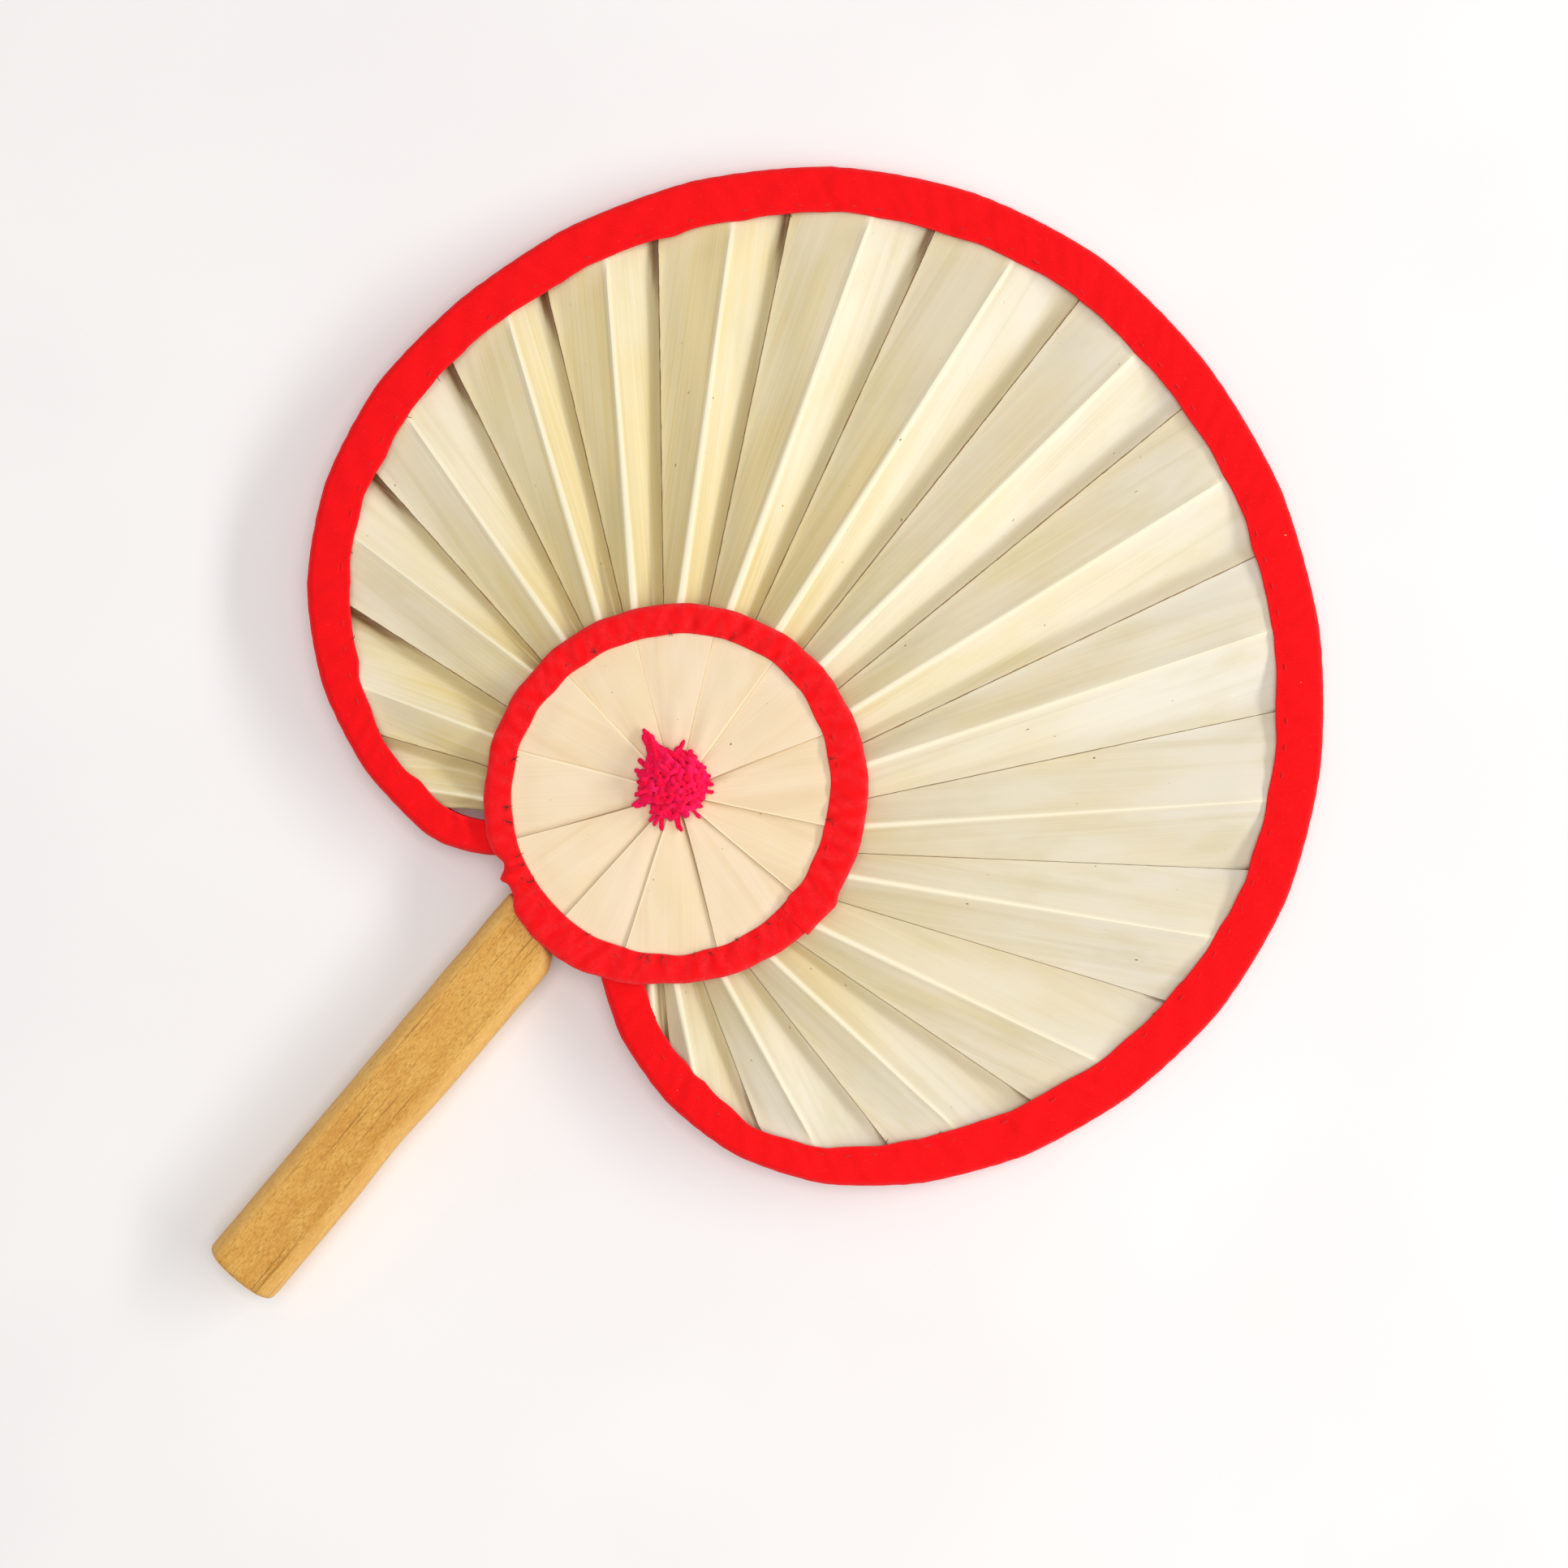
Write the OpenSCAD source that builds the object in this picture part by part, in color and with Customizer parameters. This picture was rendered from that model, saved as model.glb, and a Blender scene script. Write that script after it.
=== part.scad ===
// Palm-leaf hand fan: one pleated palm leaf with a cloth edge, on a wooden handle, with a rosette over its hub.
// It lies face up. +Z is the fan's front, +Y points from the handle to the leaf's tip, and the origin is the
// middle of the grip's flat underside. Angles round the leaf and the rosettes are measured from +Y towards +X.

/* [Handle] */
// Length of the grip, from the butt to the shoulder
grip_l = 130; // [110:1:132]
// Width of the grip
grip_w = 22.8; // [20:0.2:24]
// Thickness of the grip
grip_t = 15; // [14:0.5:17]
// Radius along the grip's long edges
grip_edge_r = 4.5; // [2:0.5:6]
// How far the hand-cut waist goes in on the +X side
waist_depth = 0.8; // [0:0.1:1.5]
// How much further the shoulder reaches on the -X side than on the +X side
shoulder_slant = 7; // [0:0.5:7]
// Length of the tongue that carries the leaf
tongue_l = 80; // [60:1:90]
// Width of the tongue
tongue_w = 20.4; // [16:0.2:21]
// Thickness of the tongue
tongue_t = 4; // [3:0.5:4]
// Height of the tongue's underside
tongue_z = 4; // [4:0.2:4.6]

/* [Leaf] */
// Thickness of the dried leaf
leaf_t = 0.5; // [0.4:0.05:0.6]
// Sideways place of the leaf's hub, where its leaflets meet
hub_x = 8.4; // [6:0.2:10]
// Place of the leaf's hub along the fan
hub_y = 105.8; // [104:0.2:108]
// Mean reach of the leaf from its hub
leaf_mean = 126; // [122:0.5:130]
// How much further the leaf reaches forward than back
leaf_forward = 88.8; // [84:0.2:90]
// Way the leaf points
leaf_turn = 6.6; // [5:0.2:9]
// Height of a pleat at the rosette
pleat_in = 5.6; // [4.5:0.1:5.8]
// Height of a pleat at the edge of the leaf's flat side
pleat_out = 1.8; // [1.2:0.1:2.4]
// Extra height of a pleat at the edge of the leaf's deep side
pleat_deep = 2.2; // [1.5:0.1:2.4]
// Height of a pleat where it comes out of the binding
pleat_open = 4; // [3:0.1:4.4]

/* [Cloth] */
// Width of the folded binding on each face, along the far edge of the leaf
binding_w = 13.2; // [11.4:0.2:13.6]
// How much narrower the binding is at the two lobes
lobe_narrowing = 3.6; // [0:0.2:4]
// Thickness of one layer of the binding, with its turned-in edge
cloth_t = 0.6; // [0.4:0.05:0.7]
// Length of a stitch
stitch_l = 3.2; // [2:0.2:4]
// Radius of the thread
thread_r = 0.25; // [0.15:0.05:0.3]

/* [Rosette] */
// Sideways place of the rosette's centre
rosette_x = 6.7; // [5:0.1:8]
// Place of the rosette's centre along the fan
rosette_y = 120.4; // [119:0.1:122]
// Radius of the rosette at its bound edge
rosette_r = 54; // [52:0.5:55]
// Width of the rosette's binding
rosette_binding_w = 9; // [7:0.5:10]
// How far the front binding bulges over the handle
rosette_bulge = 3; // [0:0.5:3.5]
// Radius of the pompom
pompom_r = 11; // [8:0.5:13]
// Height of the pompom
pompom_h = 8.5; // [6:0.5:10]
// Radius of the yarn's hole through the wedges
yarn_hole_r = 2.5; // [2:0.1:3]

/* [Hidden] */
// Angles of the leaflets' midribs at the leaf's edge
RIDGES = [-119, -103.5, -85.5, -70.5, -55.5, -44.5, -32.5, -20.5, -8, 5, 18, 31.5, 46.5, 60, 76.5,
    93.5, 111.5, 129, 138.5];
// Angles of the seams between leaflets at the leaf's edge
SEAMS = [-123, -110, -93, -77.5, -63, -51, -39.5, -27.5, -15, -1.5, 11, 25, 38.5, 53, 67.5, 84.5,
    102, 119, 134, 143];
// Angles of the rosette's wedge edges
WEDGES = [-115, -83, -55, -27, -4, 28, 62, 90, 125, 158, 182, 214];
// Angles of the back rosette's wedge edges
BACK_WEDGES = [for (i = [0:11]) 30 * i + 8];
LEAFLETS = len(RIDGES);

function numbered(name, i) = str(name, i < 9 ? "_0" : "_", i + 1);

$fn = 64;
SMALL_FN = 20;

LEAF_GREEN = [0.90, 0.86, 0.70];
WEDGE_CREAM = [0.93, 0.85, 0.70];
CLOTH_RED = [0.88, 0.07, 0.09];
YARN_PINK = [0.92, 0.10, 0.42];
WOOD_TAN = [0.78, 0.58, 0.30];
STEEL_GREY = [0.60, 0.60, 0.62];

shoulder_y = grip_l / 2;
tongue_top = tongue_z + tongue_t;
inner_r = 50;             // the leaflets' lines are straight from here to the edge
release_l = 12;           // length over which a leaflet comes free of the binding's grip
fold_r = cloth_t + 0.7;   // outer size of the binding's rounded fold
base_r = 13.4;            // radius of the leaf base round the hub
base_t = 4;               // thickness of the leaf base
seam_gap = 0.12;          // gap between a leaflet and its seam line
hub_pleat = 3;            // height of a pleat at the leaf base
leaf_inner_z = tongue_top + 0.7 + pleat_in / 2 + leaf_t / 2;  // mid height of the leaf at the rosette
leaf_hub_z = tongue_top + 2.6;                                // mid height of the leaf at the leaf base
front_z = max(leaf_inner_z + pleat_in / 2 + leaf_t / 2 + 0.35, grip_t + 0.15);  // underside of the front rosette
wedge_t = 0.4;            // thickness of a rosette wedge
wedge_rise = 0.9;         // how far a wedge's upper edge stands above its lower one
wedge_overlap = 4;        // degrees of a wedge that lie under the next one
ring_slot = wedge_rise + wedge_t + 0.2;
ring_h = ring_slot + 2 * cloth_t;
back_z = tongue_z - 0.3 - ring_h;
tack_r = 0.8;
TACKS = [[5, 78], [6.5, 98]];  // places of the two tacks

// ---------- shapes shared by several parts ----------

function smooth(x) = let (c = min(1, max(0, x))) c * c * (3 - 2 * c);
function mix(a, b, t) = a + (b - a) * t;
function about_hub(r, a) = [hub_x + r * sin(a), hub_y + r * cos(a)];

// Reach of the cloth edge from the hub: a round leaf whose two lobes curl in to the handle
function edge_r(a) = let (p = a - leaf_turn)
    leaf_mean + leaf_forward * cos(p) - 7.7 * cos(2 * p) + 3.7 * cos(3 * p) + 1.4 * cos(5 * (a + 15.5));

// Pleats are deeper at the edge on the -X side, and a little at the other lobe
function edge_pleat(a) = pleat_out + pleat_deep * (smooth((-20 - a) / 50) + 0.6 * smooth((a - 100) / 35));

// Width of the binding: narrower along the -X side, and at both lobes
function rim_w(a) = binding_w - 1.2 * smooth((-30 - a) / 30)
    - lobe_narrowing * (smooth((a - 92) / 30) + 0.8 * smooth((-94 - a) / 22));

// Half the height of the folded binding
function edge_half(a) = edge_pleat(a) / 2 + leaf_t / 2 + 0.5 + cloth_t;

// Mid height of the leaf's edge: it lies on the ground at the far side and rises to both lobes
function edge_z(a) = let (rise = max(smooth((-8 - a) / 90), smooth((a - 62) / 72)))
    mix(edge_half(a), leaf_inner_z - 0.4, rise);

// The leaflets' lines turn a little between the edge and the rosette
function seam_lean(a) = 8 * exp(-pow((a + 72) / 42, 2)) + 2 * exp(-pow((a - 40) / 45, 2));
function ridge_lean(a) = 13 * exp(-pow((a + 84) / 25, 2)) + 1.5 * exp(-pow((a - 70) / 25, 2));

// A radial length that crosses a band of width 1 along the edge. It is over 1 where the edge runs aslant.
function edge_slant(a) = norm([1, (edge_r(a + 2) - edge_r(a - 2)) / (edge_r(a) * 4 * PI / 180)]);

// A point of the leaf, [x, y, mid height, pleat height], which takes the edge's heights inside the binding
function held_point(p, z, pleat) =
    let (
        a = atan2(p.x - hub_x, p.y - hub_y),
        depth = (edge_r(a) - norm([p.x - hub_x, p.y - hub_y])) / edge_slant(a),
        free = smooth((depth - rim_w(a)) / release_l)
    )
    [p.x, p.y, mix(edge_z(a), z, free), mix(edge_pleat(a), pleat, free)];

// The points along one line of the leaf, from the hub outwards
function leaf_line(a, lean) =
    let (
        inner = about_hub(inner_r, a + lean),
        tip = about_hub(edge_r(a) - (fold_r + 0.15) * edge_slant(a), a),
        straight = max(0.02, 1 - rim_w(a) * edge_slant(a) / norm(tip - inner))
    )
    concat(
        [held_point(about_hub(base_r + 0.4, a + 0.7 * lean), leaf_hub_z, hub_pleat)],
        [held_point(about_hub(30, a + 0.9 * lean), mix(leaf_hub_z, leaf_inner_z, 0.6),
            mix(hub_pleat, pleat_in, 0.6))],
        [for (s = [0, 0.12, 0.3, 0.5, 0.75, 1])
            held_point(mix(inner, tip, straight * s), mix(leaf_inner_z, edge_z(a), smooth(s)),
                mix(pleat_in, max(pleat_open, edge_pleat(a)), s))],
        [held_point(tip, edge_z(a), edge_pleat(a))]
    );

// A point between two lines, at share u, and at share h of the pleat's height
function leaf_point(p, q, u, h) = let (m = mix(p, q, u)) [m[0], m[1], m[2] + (h - 0.5) * m[3] + leaf_t / 2];

// A thin plate: a grid of points on its top, and the same points t lower
module plate(grid, t) {
    rows = len(grid);
    n = len(grid[0]);
    size = rows * n;
    low = [for (row = grid) [for (p = row) [p.x, p.y, p.z - t]]];
    // the grid's border, as numbers of its points, in the order that walks round it
    border = concat(
        [for (j = [0:n - 1]) j],
        [for (i = [1:rows - 1]) i * n + n - 1],
        [for (j = [n - 2:-1:0]) (rows - 1) * n + j],
        [for (i = [rows - 2:-1:1]) i * n]
    );
    polyhedron(
        points = concat([for (row = grid) each row], [for (row = low) each row]),
        faces = concat(
            [for (i = [0:rows - 2], j = [0:n - 2]) [i * n + j, (i + 1) * n + j, (i + 1) * n + j + 1]],
            [for (i = [0:rows - 2], j = [0:n - 2]) [i * n + j, (i + 1) * n + j + 1, i * n + j + 1]],
            [for (i = [0:rows - 2], j = [0:n - 2])
                [size + i * n + j, size + (i + 1) * n + j + 1, size + (i + 1) * n + j]],
            [for (i = [0:rows - 2], j = [0:n - 2])
                [size + i * n + j, size + i * n + j + 1, size + (i + 1) * n + j + 1]],
            [for (k = [0:len(border) - 1]) let (a = border[k], b = border[(k + 1) % len(border)])
                [a, b, size + b]],
            [for (k = [0:len(border) - 1]) let (a = border[k], b = border[(k + 1) % len(border)])
                [a, size + b, size + a]]
        ),
        convexity = 6
    );
}

// Triangles that close one end of a folded strip, as numbers of its section's points
FOLD_END = [[0, 1, 8], [0, 8, 9], [1, 2, 8], [2, 3, 8], [3, 7, 8], [3, 4, 7], [4, 5, 7], [5, 6, 7]];

// A folded strip of cloth: its fold runs along path, and it reaches inwards on both faces.
// Each point of path is [x, y, mid height, half height, width], and walks clockwise round the leaf.
module folded_strip(path, closed = false) {
    count = len(path);
    rings = [for (i = [0:count - 1])
        let (
            before = path[closed ? (i + count - 1) % count : max(0, i - 1)],
            after = path[closed ? (i + 1) % count : min(count - 1, i + 1)],
            along = [after.x - before.x, after.y - before.y],
            inwards = [along.y, -along.x] / norm(along),
            p = path[i],
            h = p[3],
            w = p[4]
        )
        [for (q = [[w, h], [fold_r, h], [0, h - fold_r], [0, fold_r - h], [fold_r, -h], [w, -h],
                   [w, cloth_t - h], [fold_r, cloth_t - h], [fold_r, h - cloth_t], [w, h - cloth_t]])
            [p.x + inwards.x * q.x, p.y + inwards.y * q.x, p[2] + q.y]]];
    n = len(rings[0]);
    last = closed ? count - 1 : count - 2;
    polyhedron(
        points = [for (ring = rings) each ring],
        faces = concat(
            [for (i = [0:last], j = [0:n - 1]) let (k = (i + 1) % count, m = (j + 1) % n)
                [i * n + j, k * n + m, k * n + j]],
            [for (i = [0:last], j = [0:n - 1]) let (k = (i + 1) % count, m = (j + 1) % n)
                [i * n + j, i * n + m, k * n + m]],
            closed ? [] : [for (f = FOLD_END) [f[2], f[1], f[0]]],
            closed ? [] : [for (f = FOLD_END) [for (j = f) (count - 1) * n + j]]
        ),
        convexity = 8
    );
}

// A stitch along direction a, lying on the cloth
module stitch(p, a, l = stitch_l) {
    translate(p)
        rotate([0, 90, a])
            cylinder(h = l, r = thread_r, center = true, $fn = SMALL_FN);
}

module rounded_rect(w, h, r) {
    square([w - 2 * r, h], center = true);
    square([w, h - 2 * r], center = true);
    for (x = [-1, 1], y = [-1, 1])
        translate([x * (w / 2 - r), y * (h / 2 - r)]) circle(r);
}

module at_rosette(z = 0) {
    translate([rosette_x, rosette_y, z]) children();
}

// ---------- handle and leaf base ----------

// Right-hand edge of the grip seen from the front: a shallow waist near the middle
function grip_side(y) = grip_w / 2 - waist_depth * exp(-pow((y + 8) / 14, 2));

module grip_outline() {
    corner = 2.5;
    bow = 0.8;
    top = shoulder_y - shoulder_slant / 2;
    polygon(concat(
        [for (k = [0:12]) let (y = mix(top, corner - shoulder_y, k / 12)) [grip_side(y), y]],
        [for (x = [8, 4, 0, -4, -8]) [x, -shoulder_y - bow * (1 - pow(x / 9, 2))]],
        [[-grip_w / 2, corner - shoulder_y], [-grip_w / 2, shoulder_y + shoulder_slant / 2]]
    ));
}

module tack_holes() {
    for (p = TACKS)
        translate([p.x, p.y, 0]) cylinder(h = grip_t, r = tack_r + 0.02, $fn = 32);
}

module handle() {
    tip_r = 6;
    tongue_start = shoulder_y - shoulder_slant / 2 - 1;
    tongue_end = shoulder_y - 1 + tongue_l;
    color(WOOD_TAN) difference() {
        union() {
            intersection() {
                linear_extrude(grip_t) grip_outline();
                translate([0, 0, grip_t / 2])
                    rotate([90, 0, 0])
                        linear_extrude(2 * grip_l, center = true) rounded_rect(grip_w, grip_t, grip_edge_r);
            }
            translate([-tongue_w / 2, tongue_start, tongue_z])
                cube([tongue_w, tongue_end - tip_r - tongue_start, tongue_t]);
            translate([tip_r - tongue_w / 2, tongue_start, tongue_z])
                cube([tongue_w - 2 * tip_r, tongue_end - tongue_start, tongue_t]);
            for (x = [-1, 1])
                translate([x * (tongue_w / 2 - tip_r), tongue_end - tip_r, tongue_z])
                    cylinder(h = tongue_t, r = tip_r);
        }
        translate([0, 0, tongue_z + 1.5]) tack_holes();
    }
}

// The stub of the leaf's stalk, spread out into the disc that the leaflets grow from
module leaf_base() {
    stalk_w = 10;
    stalk_x = 5;
    stalk_start = shoulder_y + 0.6;
    color(LEAF_GREEN) difference() {
        union() {
            translate([hub_x, hub_y, tongue_top]) cylinder(h = base_t, r = base_r);
            translate([stalk_x - stalk_w / 2, stalk_start, tongue_top])
                cube([stalk_w, hub_y - stalk_start, base_t]);
        }
        tack_holes();
    }
}

module tacks() {
    head_r = 2;
    head_t = 0.6;
    color(STEEL_GREY)
        for (p = TACKS)
            translate([p.x, p.y, tongue_top + base_t]) {
                cylinder(h = head_t, r = head_r, $fn = 32);
                translate([0, 0, -base_t - tongue_t + 1.6])
                    cylinder(h = base_t + tongue_t - 1.6, r = tack_r, $fn = 32);
            }
}

// ---------- leaf ----------

// A valley's bottom lies beside its seam: 1 is fully on the side before it, -1 fully on the side after it.
// The leaf's two halves mirror each other.
function valley_side(a) = 1 - 2 * smooth((a - 20) / 70);

// One pleat: an inverted V between two seams, with a flat-topped midrib along its ridge
module leaflet(i) {
    rib_w = 1.1;
    seam_lift = 0.4;      // height of a seam above the valley's bottom, as a share of the pleat
    valley_u = 0.36;      // place of the valley's bottom between its seam and the ridge
    seam_l = seam_lift * abs(valley_side(SEAMS[i]));
    seam_r = seam_lift * abs(valley_side(SEAMS[i + 1]));
    valley_l = max(0, -valley_side(SEAMS[i]));
    valley_r = max(0, valley_side(SEAMS[i + 1]));
    left = leaf_line(SEAMS[i], seam_lean(SEAMS[i]));
    ridge = leaf_line(RIDGES[i], ridge_lean(RIDGES[i]));
    right = leaf_line(SEAMS[i + 1], seam_lean(SEAMS[i + 1]));
    grid = [for (k = [0:len(ridge) - 1])
        let (
            wl = norm([ridge[k].x - left[k].x, ridge[k].y - left[k].y]),
            wr = norm([ridge[k].x - right[k].x, ridge[k].y - right[k].y])
        )
        [
            leaf_point(left[k], ridge[k], seam_gap / wl, seam_l),
            leaf_point(left[k], ridge[k], mix(0.5, valley_u, valley_l), mix((1 + seam_l) / 2, 0, valley_l)),
            leaf_point(left[k], ridge[k], 1 - min(0.3, rib_w / 2 / wl), 1),
            leaf_point(right[k], ridge[k], 1 - min(0.3, rib_w / 2 / wr), 1),
            leaf_point(right[k], ridge[k], mix(0.5, valley_u, valley_r), mix((1 + seam_r) / 2, 0, valley_r)),
            leaf_point(right[k], ridge[k], seam_gap / wr, seam_r)
        ]];
    color(LEAF_GREEN) plate(grid, leaf_t);
}

// ---------- binding of the leaf's edge ----------

function rim_point(r, a) = let (xy = about_hub(r, a)) [xy.x, xy.y, edge_z(a), edge_half(a), rim_w(a)];

// The strip's fold line. Its two ends turn in under the rosette.
RIM_PATH = concat(
    [for (p = [[40, -138.2], [46, -136.8], [51.5, -135.2]]) rim_point(p[0], p[1])],
    [for (a = [-132:4:156]) rim_point(edge_r(a), a)],
    [for (p = [[42, 158], [38.4, 161.4]]) rim_point(p[0], p[1])]
);

module rim_binding() {
    color(CLOTH_RED) folded_strip(RIM_PATH);
}

// Stitches near the binding's inner edge, on the front
module rim_stitching() {
    inset = 2.2;
    color(CLOTH_RED)
        for (i = [4:len(RIM_PATH) - 6], s = [0, 0.5]) {
            p = mix(RIM_PATH[i], RIM_PATH[i + 1], s);
            along = RIM_PATH[i + 1] - RIM_PATH[i];
            run = norm([along.x, along.y]);
            inwards = [along.y, -along.x] / run * (p[4] - inset);
            stitch([p.x + inwards.x, p.y + inwards.y, p[2] + p[3] + thread_r + 0.1],
                atan2(along.y, along.x), min(stitch_l, 0.3 * run));
        }
}

// ---------- rosettes ----------

// A leaf wedge from angle a to angle b. Its edge at b lies high, over the next wedge clockwise, and its
// other edge lies low, under the wedge before it.
module wedge(a, b) {
    r_out = rosette_r - fold_r - 0.6;
    span = b - a + wedge_overlap;
    grid = [for (r = [yarn_hole_r, r_out / 2, r_out])
        [for (k = [0:4]) let (q = b - span * (1 - k / 4))
            [r * sin(q), r * cos(q), wedge_t + wedge_rise * k / 4]]];
    plate(grid, wedge_t);
}

module rosette_wedge(i, edges) {
    a = edges[i];
    b = i < 11 ? edges[i + 1] : edges[0] + 360;
    wedge(a, b);
}

// The front binding swells outwards where it passes over the handle
function rosette_edge(a) = rosette_r + rosette_bulge * pow(max(0, -cos(a)), 6);

module rosette_binding() {
    color(CLOTH_RED)
        at_rosette(front_z + ring_h / 2)
            folded_strip(
                [for (a = [0:5:355])
                    [rosette_edge(a) * sin(a), rosette_edge(a) * cos(a), 0, ring_h / 2, rosette_binding_w]],
                closed = true);
}

module back_binding() {
    inner = rosette_r - rosette_binding_w - 1;
    outer = rosette_r - 1;
    color(CLOTH_RED) at_rosette(back_z) difference() {
        rotate_extrude() translate([inner, 0]) square([outer - inner, ring_h]);
        translate([0, 0, cloth_t])
            rotate_extrude() translate([inner - 1, 0]) square([outer - inner + 1 - cloth_t, ring_slot]);
    }
}

// Stitches round a rosette, at height z and radius r
module ring_of_stitches(z, r) {
    at_rosette()
        for (a = [0:10:350])
            stitch([r * sin(a), r * cos(a), z], -a);
}

module rosette_stitching() {
    color(CLOTH_RED)
        ring_of_stitches(front_z + ring_h + thread_r + 0.1, rosette_r - rosette_binding_w + 1.6);
}

module back_stitching() {
    color(CLOTH_RED)
        ring_of_stitches(back_z - thread_r - 0.1, rosette_r - rosette_binding_w + 0.6);
}

// ---------- yarn ----------

pompom_z = front_z + cloth_t + wedge_rise + wedge_t + 0.15;

// A soft dome of cut yarn, a little off the rosette's centre
module pompom() {
    foot = 1;
    color(YARN_PINK)
        at_rosette(pompom_z)
            rotate_extrude()
                polygon(concat(
                    [[0, 0], [pompom_r - 2, 0]],
                    [for (t = [0:10:90]) [pompom_r * cos(t), foot + (pompom_h - foot) * sin(t)]]
                ));
}

// The yarn that holds the pompom, with a flat knot under the wedges
module pompom_tie() {
    knot_r = 3.6;
    knot_t = 1.2;
    shaft_r = yarn_hole_r - 0.6;
    color(YARN_PINK) at_rosette() {
        translate([0, 0, front_z - knot_t]) cylinder(h = knot_t, r = knot_r);
        translate([0, 0, front_z]) cylinder(h = pompom_z - front_z, r = shaft_r, $fn = 32);
    }
}

module back_knot() {
    knot_r = 3.4;
    knot_t = 1;
    color(YARN_PINK) at_rosette(back_z + cloth_t - knot_t - 0.1) {
        cylinder(h = knot_t, r = knot_r);
        cylinder(h = knot_t + ring_slot, r = yarn_hole_r - 0.6, $fn = 32);
    }
}

handle();
leaf_base();
tacks();
for (i = [0:LEAFLETS - 1])
    leaflet(i);
rim_binding();
rim_stitching();
for (i = [0:11])
    color(WEDGE_CREAM) at_rosette(front_z + cloth_t + 0.1) rosette_wedge(i, WEDGES);
rosette_binding();
rosette_stitching();
pompom();
pompom_tie();
for (i = [0:11])
    color(WEDGE_CREAM) at_rosette(back_z + cloth_t + 0.1) rosette_wedge(i, BACK_WEDGES);
back_binding();
back_stitching();
back_knot();
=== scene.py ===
"""Palm-leaf hand fan, seen as it lies on a pale table. Lengths are in millimetres until a mesh is made."""
from math import pi, radians

import bmesh
import bpy
import numpy as np
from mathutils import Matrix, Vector


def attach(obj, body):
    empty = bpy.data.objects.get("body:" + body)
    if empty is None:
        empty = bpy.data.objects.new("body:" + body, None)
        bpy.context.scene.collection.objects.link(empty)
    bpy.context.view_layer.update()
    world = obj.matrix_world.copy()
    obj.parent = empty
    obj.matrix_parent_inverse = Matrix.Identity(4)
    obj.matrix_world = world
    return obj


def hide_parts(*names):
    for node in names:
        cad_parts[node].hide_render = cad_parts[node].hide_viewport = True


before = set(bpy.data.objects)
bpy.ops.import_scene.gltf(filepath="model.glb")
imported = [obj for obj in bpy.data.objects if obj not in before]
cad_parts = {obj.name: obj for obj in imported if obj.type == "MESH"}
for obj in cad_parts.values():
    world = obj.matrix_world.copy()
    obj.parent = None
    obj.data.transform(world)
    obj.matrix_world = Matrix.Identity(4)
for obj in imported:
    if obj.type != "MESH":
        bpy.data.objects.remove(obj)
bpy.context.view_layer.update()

MM = 0.001

# ---------- sizes, the same as in the CAD model ----------

HUB = (8.4, 105.8)              # where the leaflets meet
LEAF_T = 0.45
INNER_R = 50                    # the leaflets' lines are straight from here to the edge
HUB_R = 13.8
HUB_Z = 10.6
INNER_Z = 11.75                 # mid height of the leaf at the rosette
PLEAT_HUB = 3
PLEAT_IN = 5.6
PLEAT_OPEN = 4.2                # height of a pleat where it comes out of the binding
RIDGES = [-119, -103.5, -85.5, -70.5, -55.5, -44.5, -32.5, -20.5, -8, 5, 18, 31.5, 46.5, 60, 76.5,
          93.5, 111.5, 129, 138.5]
SEAMS = [-123, -110, -93, -77.5, -63, -51, -39.5, -27.5, -15, -1.5, 11, 25, 38.5, 53, 67.5, 84.5,
         102, 119, 134, 143]

BINDING_W = 13.2
LOBE_NARROWING = 3.6
CLOTH_T = 0.36                  # one layer of cotton
LAYERS_T = 0.6                  # cloth with its turned-in edge, as the CAD has it
FOLD_R = LAYERS_T + 0.7

ROSETTE = (6.7, 120.4)
ROSETTE_R = 54
ROSETTE_W = 9
WEDGES = [-115, -83, -55, -27, -4, 28, 62, 90, 125, 158, 182, 214]
BACK_WEDGES = [30 * i + 8 for i in range(12)]
WEDGE_T = 0.4
WEDGE_RISE = 0.9
WEDGE_OVERLAP = 4
YARN_HOLE_R = 2.5
STITCH_PITCH = 8.5              # along the rim
STITCH_STEP = 10                # degrees, round a rosette
RING_H = WEDGE_RISE + WEDGE_T + 0.2 + 2 * LAYERS_T
FRONT_Z = 15.15                 # underside of the front rosette
BACK_Z = 1.0                    # underside of the back rosette
POMPOM_Z = 17.2

GRIP_L = 130
GRIP_W = 22.8
GRIP_T = 15
SHOULDER_SLANT = 7              # how much further the shoulder reaches on the -X side
TONGUE_L = 79
TONGUE_W = 20.4
TONGUE_Z = (4, 8)
CORNER_R = 4.5                  # of the grip's long edges
BUTT_ROUND = 1.6
SHOULDER_ROUND = 1.2
BUTT_BULGE = 0.8
SHOULDER_CUT = (4.2, 7.2)       # how far the shoulder's +X corner is rounded, across and along the grip


# ---------- small maths ----------

def smooth(x):
    t = np.clip(x, 0, 1)
    return t * t * (3 - 2 * t)


def mix(a, b, t):
    return a + (b - a) * t


def bump(x, centre, width):
    return np.exp(-((x - centre) / width) ** 2)


def unit(rows):
    return rows / np.linalg.norm(rows, axis=1)[:, None]


def polar(centre, r, a):
    """Points at radius r and angle a, in degrees from +Y towards +X, about a centre."""
    turn = np.radians(a)
    return np.stack([centre[0] + r * np.sin(turn), centre[1] + r * np.cos(turn)], -1)


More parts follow.
